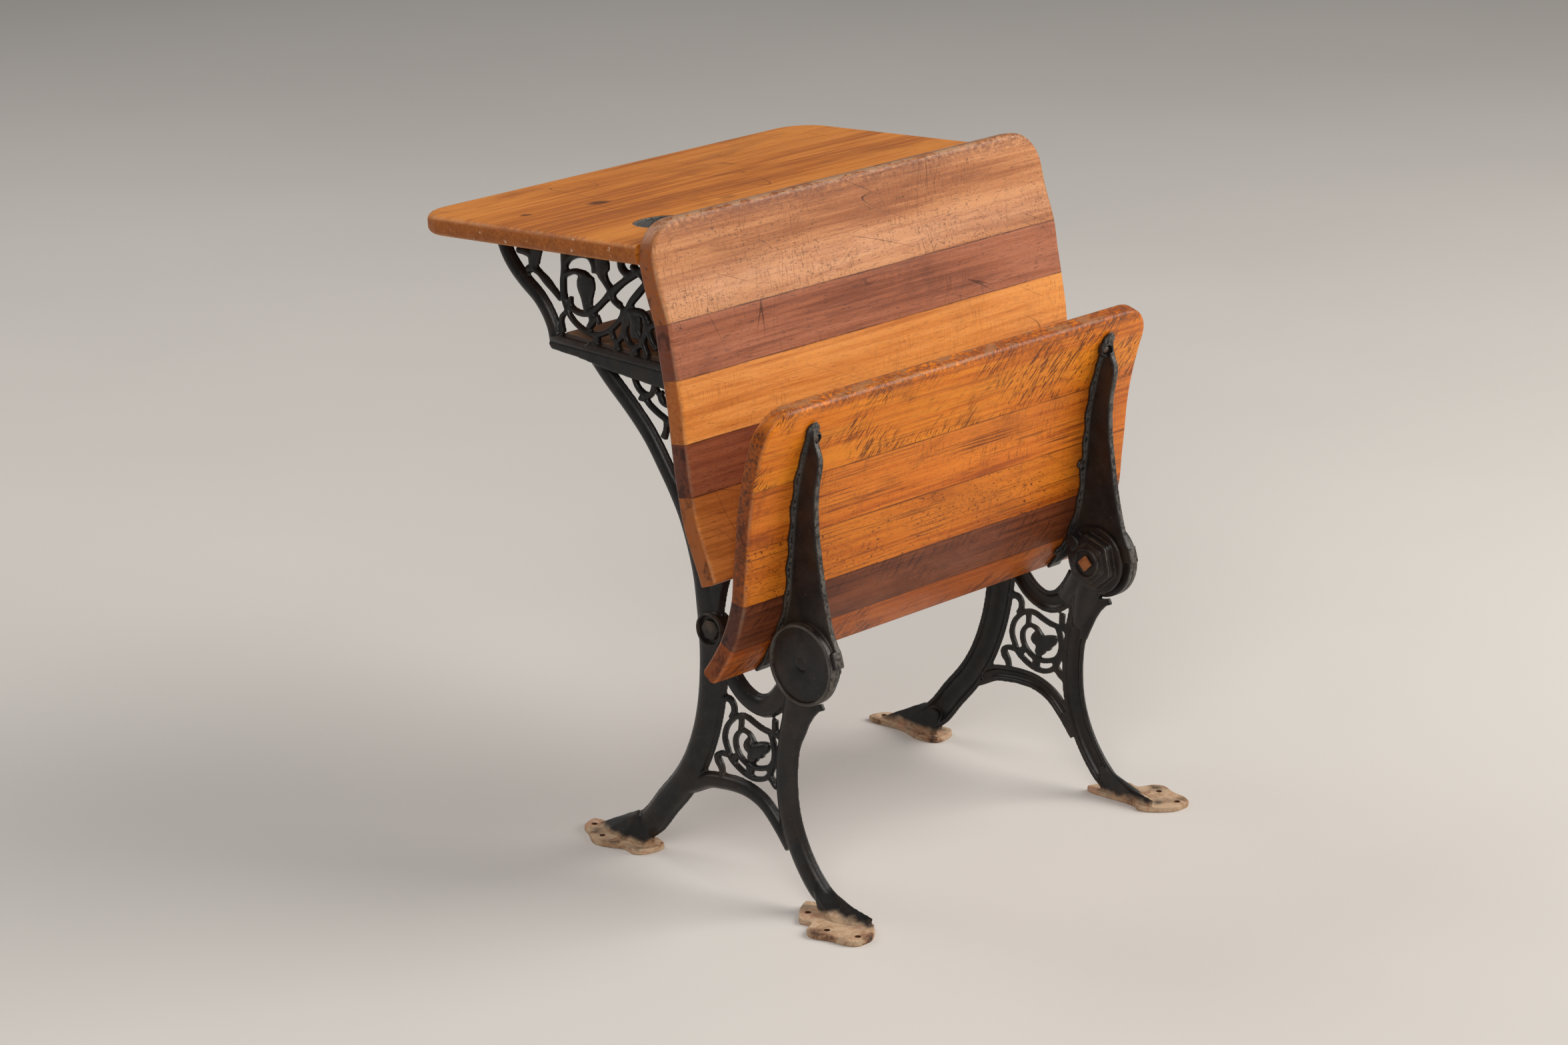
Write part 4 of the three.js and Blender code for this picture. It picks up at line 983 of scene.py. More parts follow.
HALF_BOARD = 266.5
HALF_SEAT = 264.5
PANEL_RIM = WornRim(621.0, 638.0, (0.17, 0.050, 0.022), (0.44, 0.27, 0.16))
SEAT_RIM = WornRim(477.0, 489.0, (0.15, 0.050, 0.025), (0.34, 0.16, 0.07))
SLANTED, LINED, DOTTED, HATCHED = Marks.SLANTED, Marks.LINED, Marks.DOTTED, Marks.HATCHED
FINISHES: dict[str, VarnishedWood | CastIron | OldMetal] = {
    "panel_1": VarnishedWood("panel_wood_1", (0.60, 0.270, 0.112), (0.47, 0.185, 0.069),
                             (0.32, 0.108, 0.037), HALF_BOARD, pores=0.55, stains=0.25,
                             scratches=0.85, marks=((HATCHED, 0.55), (DOTTED, 0.6)), rim=PANEL_RIM,
                             seed=1.3),
    "panel_2": VarnishedWood("panel_wood_2", (0.45, 0.166, 0.088), (0.345, 0.116, 0.057),
                             (0.205, 0.064, 0.033), HALF_BOARD, end=(0.16, 0.040, 0.014),
                             pores=0.6, stains=0.45, scratches=0.6, marks=((HATCHED, 0.4),), seed=4.1),
    "panel_3": VarnishedWood("panel_wood_3", (0.82, 0.340, 0.085), (0.68, 0.245, 0.052),
                             (0.50, 0.155, 0.030), HALF_BOARD, pores=0.4, stains=0.25,
                             scratches=0.5, marks=((HATCHED, 0.35),), seed=7.7),
    "panel_4": VarnishedWood("panel_wood_4", (0.30, 0.095, 0.042), (0.22, 0.062, 0.028),
                             (0.12, 0.036, 0.018), HALF_BOARD, end=(0.16, 0.040, 0.014),
                             pores=0.55, stains=0.5, scratches=0.5, seed=9.2),
    "panel_5": VarnishedWood("panel_wood_5", (0.70, 0.26, 0.062), (0.56, 0.190, 0.042),
                             (0.38, 0.115, 0.025), HALF_BOARD, pores=0.45, seed=12.4),
    "seat_1": VarnishedWood("seat_wood_1", (0.84, 0.270, 0.016), (0.70, 0.180, 0.008),
                            (0.46, 0.100, 0.005), HALF_SEAT, end=(0.060, 0.025, 0.012), pores=0.4,
                            stains=0.5, scratches=0.35, marks=((LINED, 0.35), (SLANTED, 0.85)),
                            rim=SEAT_RIM, seed=15.5),
    "seat_2": VarnishedWood("seat_wood_2", (0.73, 0.210, 0.018), (0.59, 0.143, 0.010),
                            (0.38, 0.080, 0.007), HALF_SEAT, end=(0.060, 0.023, 0.011), pores=0.5,
                            stains=0.4, scratches=0.3, marks=((LINED, 0.8), (HATCHED, 0.6)), seed=18.3),
    "seat_3": VarnishedWood("seat_wood_3", (0.66, 0.190, 0.014), (0.52, 0.126, 0.008),
                            (0.35, 0.074, 0.005), HALF_SEAT, end=(0.085, 0.030, 0.012), pores=0.6,
                            stains=0.35, scratches=0.3, marks=((LINED, 0.6), (DOTTED, 0.85)), seed=21.9),
    "seat_4": VarnishedWood("seat_wood_4", (0.24, 0.068, 0.024), (0.165, 0.043, 0.015),
                            (0.085, 0.022, 0.010), HALF_SEAT, end=(0.10, 0.035, 0.018),
                            pores=0.5, stains=0.5, scratches=0.5, marks=((SLANTED, 0.5),), seed=24.6),
    "seat_5": VarnishedWood("seat_wood_5", (0.56, 0.145, 0.014), (0.44, 0.098, 0.009),
                            (0.28, 0.056, 0.006), HALF_SEAT, end=(0.20, 0.055, 0.011), pores=0.5,
                            stains=0.4, scratches=0.4, marks=((SLANTED, 0.8),), seed=27.2),
    "desk": VarnishedWood("desk_wood", (0.68, 0.245, 0.040), (0.54, 0.170, 0.022),
                          (0.36, 0.098, 0.012), HALF_BOARD, end=(0.42, 0.130, 0.026),
                          end_rub_highlight=(0.42, 0.22, 0.10), pores=0.25, stains=0.35, scratches=0.45,
                          chips=0.9, grime=0.2, gloss=0.50, seed=30.8,
                          knots=((-141.0, 151.0, 11.0, 0.85), (-217.0, 170.0, 6.0, 0.85),
                                 (-60.0, 60.0, 9.0, 0.35))),
    "shelf": VarnishedWood("shelf_wood", (0.33, 0.20, 0.11), (0.24, 0.14, 0.075),
                           (0.15, 0.085, 0.045), 196.0, pores=0.5, stains=0.5, gloss=0.6,
                           seed=33.1),
    "standard": CastIron("painted_casting", floor=True),
    "arm": CastIron("painted_arm"),
    # Painted highlight for the crest of the hinge disc's rim: a paint lighter than the castings', with
    # paler rubbed edges.
    "rim": CastIron("painted_rim_highlight", paint=(0.050, 0.044, 0.039), rubbed=(0.17, 0.13, 0.10)),
    "steel": OldMetal("brown_steel", (0.20, 0.165, 0.14), (0.17, 0.085, 0.045), 0.5),
    # Painted shade for the walls of the screw holes in the feet: dark rust standing in for the shade
    # inside them.
    "hole": OldMetal("painted_hole_shade", (0.045, 0.022, 0.014), (0.10, 0.035, 0.014), 0.8, 0.8, 0.0),
    "bolt": OldMetal("rusty_bolt", (0.30, 0.16, 0.09), (0.36, 0.13, 0.045), 0.9, 0.55, 0.3),
    "pewter": OldMetal("grey_cup", (0.20, 0.20, 0.195), (0.09, 0.085, 0.08), 0.4, 0.4, 0.6),
}
made_finishes: dict[str, bpy.types.Material] = {}


def dress(piece: bpy.types.Object, finish: str) -> bpy.types.Object:
    """Gives a piece a finish.

    Args:
        piece: the piece.
        finish: the name of the finish, built when it is first used.

    Returns:
        The same piece.
    """
    if finish not in made_finishes:
        made_finishes[finish] = FINISHES[finish].build()
    piece.data.materials.clear()
    piece.data.materials.append(made_finishes[finish])
    return piece


def paint_over(piece: bpy.types.Object, finish: str, beyond: float) -> bpy.types.Object:
    """Gives the faces that lie beyond a distance from the desk's middle another finish.

    Args:
        piece: the piece.
        finish: the name of the finish.
        beyond: the distance from the desk's middle, in millimetres.

    Returns:
        The same piece.
    """
    first = piece.data.materials[0]
    dress(piece, finish)
    piece.data.materials.append(piece.data.materials[0])
    piece.data.materials[0] = first
    for face in piece.data.polygons:
        face.material_index = int(abs(face.center.x) > beyond * MM)
    return piece


def seat_in(piece: bpy.types.Object, body: str, slot: str, *nodes: str) -> None:
    """Lets a piece ride on a body in place of CAD nodes.

    Args:
        piece: the piece.
        body: the body it rides on.
        slot: its material slot in the record; not used.
        nodes: the nodes that it stands for.
    """
    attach(piece, body)
    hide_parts(*nodes)
    heights = [v.co.z / MM for v in piece.data.vertices]
    fronts = [v.co.y / MM for v in piece.data.vertices]
    log.info("%s: %d faces, lowest %.1f mm, foremost %.1f mm", piece.name, len(piece.data.polygons),
             min(heights), min(fronts))


# Faces that the boards follow, from top to bottom, as shares of the stand

PANEL_FACE = smooth(plan([
    (0.084, 1.113), (0.068, 1.063), (0.0495, 1.017), (0.018, 0.960), (0.005, 0.915),
    (-0.009, 0.871), (-0.024, 0.821), (-0.034, 0.770), (-0.044, 0.727), (-0.055, 0.687),
    (-0.072, 0.642), (-0.097, 0.602), (-0.114, 0.577), (-0.127, 0.554),
]), 6)
SEAT_FACE = smooth(plan([
    (-0.302, 0.850), (-0.287, 0.816), (-0.270, 0.781), (-0.247, 0.723), (-0.234, 0.673),
    (-0.228, 0.624), (-0.221, 0.577), (-0.215, 0.529), (-0.198, 0.485), (-0.176, 0.448),
    (-0.145, 0.4115), (-0.115, 0.3825),
]), 6)


@dataclass
class BentFace:
    """The curved face of a bent board, measured along its length."""

    line: np.ndarray
    run: np.ndarray = field(init=False)
    aside: np.ndarray = field(init=False)

    def __post_init__(self) -> None:
        """Measures the line."""
        steps = np.linalg.norm(np.diff(self.line, axis=0), axis=1)
        self.run = np.concatenate([[0], np.cumsum(steps)])
        self.aside = normals(self.line)

    @property
    def length(self) -> float:
        """Its whole length."""
        return float(self.run[-1])

    def at(self, along: np.ndarray | float, deep: np.ndarray | float) -> np.ndarray:
        """Points at distances along the face and into the board.

        Args:
            along: distances along the face.
            deep: distances into the board.

        Returns:
            Their Y and Z.
        """
        along = np.asarray(along, float)
        line = np.stack([np.interp(along, self.run, self.line[:, k]) for k in (0, 1)], -1)
        aside = np.stack([np.interp(along, self.run, self.aside[:, k]) for k in (0, 1)], -1)
        return line + aside * np.asarray(deep, float)[..., None]

    def strip(self, start: float, end: float, near: float, far: float) -> np.ndarray:
        """The outline of what follows the face.

        Args:
            start: the share where it starts.
            end: the share where it ends.
            near: how deep its outer side lies.
            far: how deep its inner side lies.

        Returns:
            The outline, Y and Z.
        """
        along = np.linspace(start, end, 40) * self.length
        return np.vstack([self.at(along, near), self.at(along[::-1], far)])


PANEL = BentFace(PANEL_FACE)
SEAT = BentFace(SEAT_FACE)
QUARTER_TURN = [math.pi / 2 * k / 14 for k in range(15)]


@dataclass
class BentBoard:
    """A board glued from strips and bent, such as the back panel or the seat."""

    name: str
    face: BentFace
    width: float
    board: float
    corner: float
    seams: tuple[float, ...]
    body: str
    slots: tuple[str, ...]
    rounding: float = 5.0
    step: float = 6.0
    seam: float = 0.02

    def build(self) -> None:
        """Builds every strip."""
        for index in range(len(self.seams) - 1):
            piece = self.strip(index)
            node = f"{self.name}_strip_{index + 1}"
            finish = f"{'panel' if self.name == 'back' else 'seat'}_{index + 1}"
            dress(piece, finish)
            seat_in(piece, self.body, self.slots[index], node)

    def outline(self, low: float, high: float, top: bool) -> list[tuple[float, float]]:
        """The flat outline of a strip.

        Args:
            low: where it starts along the face.
            high: where it ends.
            top: whether it has the board's rounded corners.

        Returns:
            Its points, X and distance along the face.
        """
        side, radius = self.width / 2, self.corner
        if not top:
            return [(-side, low), (side, low), (side, high), (-side, high)]
        right = [(side - radius + radius * math.sin(t), low + radius - radius * math.cos(t))
                 for t in QUARTER_TURN]
        return [*right, (side, high), (-side, high), *[(-x, y) for x, y in right[::-1]]]

    def strip(self, index: int) -> bpy.types.Object:
        """Builds one strip, flat at first, then bent along the face.

        Args:
            index: which strip, counted from the top.

        Returns:
            The strip.
        """
        low, high = (share * self.face.length for share in self.seams[index:index + 2])
        first, last = index == 0, index == len(self.seams) - 2
        low, high = low + (0 if first else self.seam), high - (0 if last else self.seam)
        work = bmesh.new()
        glue = work.verts.layers.float.new("glue_line")
        raise_board(work, self.outline(low, high, first), self.board)
        rims = [edge for edge in work.edges if self.is_rim(edge, low, high, first, last)]
        bmesh.ops.bevel(work, geom=rims, offset=self.rounding, segments=5, profile=0.5,
                        affect="EDGES", clamp_overlap=True)
        for place in (low + self.step / 2, *np.arange(low + self.step, high - self.step * 0.9, self.step),
                      high - self.step / 2):
            bmesh.ops.bisect_plane(work, geom=[*work.verts, *work.edges, *work.faces],
                                   plane_co=(0, place, 0), plane_no=(0, 1, 0))
        for vert in work.verts:
            flat = vert.co.copy()
            at_top, at_foot = abs(flat.y - low) < NEAR, abs(flat.y - high) < NEAR
            vert[glue] = float((at_top and not first) or (at_foot and not last))
            point = self.face.at(flat.y, flat.z)
            vert.co = (flat.x * MM, point[0] * MM, point[1] * MM)
        bmesh.ops.recalc_face_normals(work, faces=work.faces)
        mesh = bpy.data.meshes.new(f"{self.name}_board_{index + 1}")
        piece = linked(mesh.name, mesh, work)
        shade(piece, 32)
        return piece

    def is_rim(self, edge: bmesh.types.BMEdge, low: float, high: float, first: bool,
               last: bool) -> bool:
        """Whether an edge lies on the board's outer rim and not in a seam.

        Args:
            edge: the edge of the flat board.
            low: where the strip starts.
            high: where it ends.
            first: whether it is the top strip.
            last: whether it is the bottom strip.

        Returns:
            Whether it is rounded.
        """
        a, b = (v.co for v in edge.verts)
        if abs(a.z - b.z) > NEAR:
            return False
        in_top = abs(a.y - low) < NEAR and abs(b.y - low) < NEAR
        in_foot = abs(a.y - high) < NEAR and abs(b.y - high) < NEAR
        return not ((in_top and not first) or (in_foot and not last))


# Castings

FRET_SECTION = np.array([(-1, 0), (-0.98, 0.45), (-0.72, 0.82), (-0.3, 1), (0.3, 1), (0.72, 0.82),
                         (0.98, 0.45), (1, 0)])
HALF_TURN = np.linspace(0, math.pi, 15)
FLANGE_SECTION = np.array([(-1, 0), (-1, 0.26), (-0.87, 0.28), (-0.84, 0.46), (-0.74, 0.68), (-0.56, 0.86),
                           (-0.3, 0.97), (0, 1), (0.3, 0.97), (0.56, 0.86), (0.74, 0.68), (0.84, 0.46),
                           (0.87, 0.28), (1, 0.26), (1, 0)])
CORE_SECTION = np.stack([-np.sign(np.cos(HALF_TURN)) * np.abs(np.cos(HALF_TURN)) ** 0.9,
                         np.sin(HALF_TURN) ** 0.8], 1)

# Members of a standard: their lines as shares of the stand, and their widths in millimetres
MEMBERS: dict[str, tuple[list[tuple[float, float]], list[float]]] = {
    "rear": ([
        (0.466, 0.835), (0.397, 0.791), (0.316, 0.746), (0.261, 0.710), (0.217, 0.671),
        (0.176, 0.631), (0.143, 0.591), (0.106, 0.518), (0.093, 0.463), (0.084, 0.397),
        (0.084, 0.350), (0.090, 0.303), (0.105, 0.254), (0.133, 0.202), (0.169, 0.160),
        (0.226, 0.114), (0.285, 0.066), (0.379, 0.026), (0.475, 0.002),
    ], [19, 19, 19, 28, 37, 33.5, 30, 30, 20]),
    "upright": ([
        (0.036, 0.452), (0.020, 0.504), (-0.006, 0.560), (-0.004, 0.600), (0.034, 0.687),
        (0.058, 0.770), (0.084, 0.871), (0.111, 0.960), (0.132, 1.020), (0.142, 1.060),
    ], [22, 22]),
    "leg": ([
        (-0.252, 0.376), (-0.229, 0.318), (-0.210, 0.278), (-0.201, 0.226), (-0.207, 0.165),
        (-0.230, 0.115), (-0.270, 0.068), (-0.319, 0.033), (-0.385, 0.014), (-0.470, 0.006),
    ], [38, 26, 26, 26, 18]),
    "saddle": ([
        (0.040, 0.395), (-0.018, 0.361), (-0.056, 0.336), (-0.086, 0.325), (-0.117, 0.321),
        (-0.155, 0.330), (-0.188, 0.355), (-0.213, 0.385),
    ], [23, 23]),
    "arch": ([
        (0.172, 0.124), (0.106, 0.144), (0.056, 0.161), (0.017, 0.166), (-0.028, 0.169),
        (-0.080, 0.167), (-0.131, 0.154), (-0.177, 0.126), (-0.217, 0.094),
    ], [17, 17]),
    "bracket": ([
        (0.560, 0.828), (0.570, 0.860), (0.590, 0.884), (0.620, 0.906), (0.664, 0.926),
        (0.704, 0.948), (0.732, 0.972), (0.748, 1.000), (0.753, 1.040),
    ], [17, 17]),
}

# Strokes of the scrollwork: shares of the stand, and of the scroll's width
SCROLLS: list[list[tuple[float, float, float]]] = [
    [(0.693, 0.977, 1.3), (0.666, 0.978, 1.8), (0.642, 0.974, 1.8)],
    [(0.621, 0.99, 2.2), (0.635, 0.974, 3), (0.638, 0.962, 2.8), (0.636, 0.954, 2), (0.617, 0.947, 1.3),
     (0.593, 0.936, 1.7), (0.568, 0.924, 1.3), (0.542, 0.911, 1.1)],
    [(0.66, 0.948, 1.6), (0.638, 0.953, 1.6)],
    [(0.528, 0.999, 2.2), (0.529, 0.982, 2), (0.531, 0.964, 1.5), (0.536, 0.942, 1.3),
     (0.534, 0.921, 1.4), (0.527, 0.904, 1.2), (0.514, 0.889, 1), (0.492, 0.877, 1), (0.455, 0.868, 1.1),
     (0.419, 0.868, 1.1), (0.382, 0.879, 1.1), (0.353, 0.895, 1.1), (0.332, 0.913, 1.3),
     (0.329, 0.927, 1.3)],
    [(0.526, 0.893, 0.9), (0.542, 0.882, 1), (0.543, 0.87, 1), (0.538, 0.856, 1.2)],
    [(0.509, 0.921, 0.7), (0.511, 0.906, 1.1), (0.491, 0.898, 1.2), (0.462, 0.898, 1.3),
     (0.432, 0.907, 1.4), (0.399, 0.926, 1.3), (0.37, 0.945, 1.7), (0.333, 0.966, 1.4),
     (0.301, 0.981, 1.4), (0.265, 0.996, 1.4), (0.229, 1.013, 1.4)],
    [(0.44, 0.901, 1.8), (0.436, 0.889, 1.6), (0.449, 0.876, 1.2)],
    [(0.423, 0.899, 1.2), (0.411, 0.887, 0.8)],
    [(0.529, 0.971, 1), (0.51, 0.986, 1.3), (0.477, 0.996, 1.5), (0.443, 0.996, 1.5),
     (0.427, 0.985, 1.8), (0.422, 0.971, 2.2)],
    [(0.53, 0.955, 1.2), (0.5, 0.964, 1.1), (0.473, 0.965, 1.2), (0.453, 0.962, 1.4)],
    [(0.447, 0.966, 2.6), (0.455, 0.954, 4.6), (0.459, 0.945, 4.9), (0.458, 0.936, 4.3),
     (0.456, 0.925, 3.1), (0.454, 0.913, 2.4), (0.453, 0.901, 1.4)],
    [(0.404, 1.004, 3.2), (0.403, 0.984, 3.8), (0.402, 0.973, 2.8), (0.39, 0.961, 1.6),
     (0.373, 0.949, 1.6), (0.363, 0.934, 1.3), (0.339, 0.926, 1.4)],
    [(0.338, 1.011, 1.6), (0.335, 0.991, 1.6), (0.317, 0.983, 1.6), (0.29, 0.988, 1.4),
     (0.261, 0.998, 1.2)],
    [(0.322, 0.912, 1.6), (0.305, 0.936, 1.4), (0.28, 0.955, 1.5), (0.254, 0.974, 1.3),
     (0.226, 0.994, 1.3)],
    [(0.371, 0.88, 0.9), (0.362, 0.867, 1), (0.344, 0.869, 1), (0.331, 0.882, 1.2), (0.324, 0.898, 1.5),
     (0.321, 0.915, 1.6)],
    [(0.326, 0.893, 1), (0.317, 0.872, 1.1), (0.292, 0.864, 1.2), (0.268, 0.873, 1.1), (0.258, 0.888, 1),
     (0.254, 0.904, 1), (0.259, 0.922, 1.2)],
    [(0.302, 0.921, 2.2), (0.291, 0.908, 3), (0.291, 0.894, 2.9), (0.292, 0.879, 2)],
    [(0.314, 0.92, 1.4), (0.273, 0.924, 1.5), (0.252, 0.918, 1.2), (0.245, 0.9, 1.3),
     (0.236, 0.883, 1.2), (0.217, 0.87, 1.2)],
    [(0.292, 0.865, 1.6), (0.292, 0.85, 1.6)],
    [(0.419, 0.869, 1.2), (0.424, 0.855, 1.6)],
    [(0.353, 0.869, 1.2), (0.351, 0.854, 1.4)],
    [(0.31, 0.924, 1.2), (0.29, 0.902, 1.2), (0.268, 0.878, 1.2), (0.25, 0.855, 1.2)],
    [(0.3, 1., 1.4), (0.25, 0.976, 1.2), (0.222, 0.942, 1.2), (0.19, 0.92, 1.3), (0.15, 0.916, 1.3),
     (0.105, 0.93, 1.3)],
    [(0.268, 0.878, 1.2), (0.24, 0.905, 1.4), (0.205, 0.91, 1.3), (0.18, 0.89, 1.2), (0.19, 0.855, 1.2)],
    [(0.222, 0.942, 1.2), (0.19, 0.96, 1.6), (0.17, 0.99, 1.3), (0.175, 1.025, 1.3)],
    [(0.299, 0.819, 1.2), (0.287, 0.801, 1.1), (0.269, 0.791, 1.2), (0.248, 0.789, 1.2),
     (0.235, 0.797, 1), (0.23, 0.806, 1.1), (0.223, 0.82, 1.3)],
    [(0.263, 0.788, 1.2), (0.248, 0.776, 1.1), (0.226, 0.767, 1.1), (0.202, 0.76, 1.1),
     (0.179, 0.755, 1.1), (0.159, 0.754, 1.1)],
    [(0.279, 0.781, 1), (0.253, 0.781, 1)],
    [(0.222, 0.816, 1.3), (0.221, 0.803, 0.9), (0.211, 0.796, 0.9), (0.2, 0.802, 0.8)],
    [(0.209, 0.797, 1), (0.204, 0.788, 1.5), (0.192, 0.782, 1), (0.174, 0.781, 1)],
    [(0.188, 0.755, 1.3), (0.19, 0.74, 1.2), (0.199, 0.725, 1.5)],
    [(-0.148, 0.28, 1), (-0.124, 0.282, 1), (-0.099, 0.287, 1), (-0.074, 0.293, 1), (-0.054, 0.293, 1),
     (-0.029, 0.284, 1), (-0.005, 0.265, 1), (0.002, 0.244, 1), (-0.007, 0.227, 1), (-0.019, 0.212, 1),
     (-0.043, 0.201, 1), (-0.067, 0.194, 1), (-0.094, 0.191, 1), (-0.122, 0.195, 1), (-0.14, 0.203, 1.1),
     (-0.152, 0.217, 1.2), (-0.159, 0.231, 1.2), (-0.162, 0.247, 1.1), (-0.159, 0.261, 1.1),
     (-0.154, 0.272, 1), (-0.147, 0.281, 1)],
    [(-0.159, 0.234, 1), (-0.147, 0.222, 1), (-0.124, 0.214, 1), (-0.094, 0.21, 1), (-0.069, 0.213, 1),
     (-0.048, 0.222, 1), (-0.036, 0.235, 1), (-0.034, 0.25, 1), (-0.044, 0.262, 0.9),
     (-0.061, 0.268, 0.8), (-0.081, 0.265, 0.8), (-0.096, 0.253, 0.8)],
    [(-0.019, 0.283, 1.1), (-0.029, 0.296, 1.1), (-0.027, 0.307, 1.2), (-0.015, 0.314, 1.3),
     (0.001, 0.313, 1.3), (0.013, 0.309, 1)],
    [(-0.015, 0.217, 1.1), (0.016, 0.215, 1), (0.03, 0.209, 1)],
    [(0.029, 0.211, 1.2), (0.024, 0.2, 1.7), (0.015, 0.192, 1.4), (0.011, 0.183, 1.1), (0.01, 0.174, 1.1)],
    [(-0.164, 0.306, 1.2), (-0.163, 0.292, 1.2), (-0.165, 0.282, 1.3), (-0.178, 0.279, 1.2)],
    [(-0.147, 0.279, 1.2), (-0.168, 0.281, 1.2)],
    [(-0.054, 0.291, 1.1), (-0.053, 0.28, 0.9), (-0.051, 0.267, 1)],
    [(-0.021, 0.209, 1), (-0.031, 0.216, 1.5), (-0.047, 0.225, 1)],
    [(-0.081, 0.213, 1.2), (-0.081, 0.204, 1.8), (-0.081, 0.193, 1.2)],
    [(-0.14, 0.204, 1.2), (-0.154, 0.2, 1.4), (-0.162, 0.192, 1), (-0.171, 0.188, 0.8)],
]
LEAF = [
    (-0.097, 0.254), (-0.089, 0.26), (-0.077, 0.26), (-0.066, 0.252), (-0.063, 0.244), (-0.071, 0.237),
    (-0.08, 0.234), (-0.077, 0.225), (-0.081, 0.219), (-0.094, 0.218), (-0.107, 0.223), (-0.112, 0.229),
    (-0.125, 0.232), (-0.13, 0.238), (-0.142, 0.245), (-0.147, 0.254), (-0.144, 0.261), (-0.13, 0.261),
    (-0.111, 0.258),
]
# Foot plates and their screw holes: shares of the foot's width and of the stand's depth
FRONT_FOOT = [(0.00, -0.262), (0.34, -0.276), (0.56, -0.297), (0.77, -0.324), (0.72, -0.354),
              (1.06, -0.378), (1.13, -0.402), (1.00, -0.444), (0.94, -0.486), (0.79, -0.512),
              (0.44, -0.514), (0.12, -0.489), (-0.12, -0.443), (0.00, -0.410)]
REAR_FOOT = [(-0.10, 0.476), (0.32, 0.462), (0.46, 0.430), (0.72, 0.378), (0.62, 0.330),
             (0.50, 0.301), (0.55, 0.262), (0.42, 0.241), (-0.10, 0.234), (-0.25, 0.290),
             (-0.10, 0.360)]
FRONT_HOLES = [(0.43, -0.311), (0.81, -0.415), (0.62, -0.492)]
REAR_HOLES = [(0.14, 0.449), (0.46, 0.381), (0.19, 0.300)]
RAIL = [(0.080, 0.810), (0.343, 0.818), (0.470, 0.827), (0.555, 0.829), (0.571, 0.838),
        (0.571, 0.852), (0.080, 0.852)]
SLOPE = math.radians(4.3)
DESK_FRONT = plan((0.1245, 1.0405))
DESK_UP = np.array([0.0, math.sin(SLOPE), math.cos(SLOPE)])
FRAME_BOLT = plan((0.030, 0.429))
BOLT_AXIS = np.array([0.0, *FRAME_BOLT])
FOOT_WIDTH = 47.0
SHELF_REAR = plan((0.553, 0))[0]
SHELF_TOP = 0.852 * STAND[1]
SHELF_DEPTH = 164.0
SHELF_BOARD = 9.0
WELL = (-174.0, 55.0)
WELL_HOLE = 27.3
PANEL_SPACE = PANEL.strip(0, 1, -21, 21.3)

# Swells where the legs run out on the foot plates: X, share of the stand's depth, Z
SWELLS = (
    [(203, -0.290, 30), (210, -0.300, 27), (202, -0.320, 30), (202, -0.300, 3), (216, -0.335, 4.5),
     (222, -0.400, 5), (214, -0.450, 5.2), (200, -0.480, 5.2), (198, -0.440, 5.2),
     (200, -0.380, 12), (209, -0.380, 13)],
    [(203, 0.300, 36), (211, 0.290, 34), (203, 0.250, 30), (210, 0.250, 26), (200, 0.250, 3),
     (214, 0.260, 4.5), (216, 0.330, 5), (211, 0.400, 5.2), (200, 0.450, 5.2), (200, 0.400, 13),
     (208, 0.380, 13)],
)
# Stop lug, as offsets from the hinge, and stop knob, as radius and angle round it
LUG = [(-10, -28), (-18.9, -42.5), (-12, -45.5), (-5, -53), (1.5, -63), (7, -74), (12, -86),
       (20, -86), (14, -28)]
KNOB = [(20, 124), (29, 128), (33.5, 135), (34, 144), (31, 152), (20, 160)]
# Where the leg and the saddle thicken inward: line, width at its start and at its end
ROOTS = (
    ([(-0.264, 0.396), (-0.236, 0.342), (-0.213, 0.286)], 34.0, 19.0),
    ([(-0.246, 0.400), (-0.200, 0.362), (-0.155, 0.332)], 26.0, 15.0),
)


def on_floor(shares: Sequence) -> np.ndarray:
    """Turns shares of the foot's width and the stand's depth into X and Y, in millimetres."""
    return np.array(shares) * (FOOT_WIDTH, STAND[0]) + (MIDDLE, SHIFT)


def on_desk(points: np.ndarray) -> np.ndarray:
    """Puts points on the sloping desk.

    Args:
        points: X, distance back and height above the desk top's underside.

    Returns:
        The points in the row frame.
    """
    x, back, rise = np.asarray(points, float).T
    return np.column_stack([
        x,
        DESK_FRONT[0] + back * math.cos(SLOPE) + rise * math.sin(SLOPE),
        DESK_FRONT[1] - back * math.sin(SLOPE) + rise * math.cos(SLOPE),
    ])


def block(low: Sequence[float], high: Sequence[float], place: Callable | None = None) -> Shell:
    """A box between two corners.

    Args:
        low: its low corner.
        high: its high corner.
        place: what puts its points in place, if anything does.

    Returns:
        The closed shell.
    """
    (x0, y0, z0), (x1, y1, z1) = low, high
    ring = [(x0, y0), (x1, y0), (x1, y1), (x0, y1)]
    points, faces = plate(np.array(ring, float), z0, z1)
    return (place(points) if place else points), faces


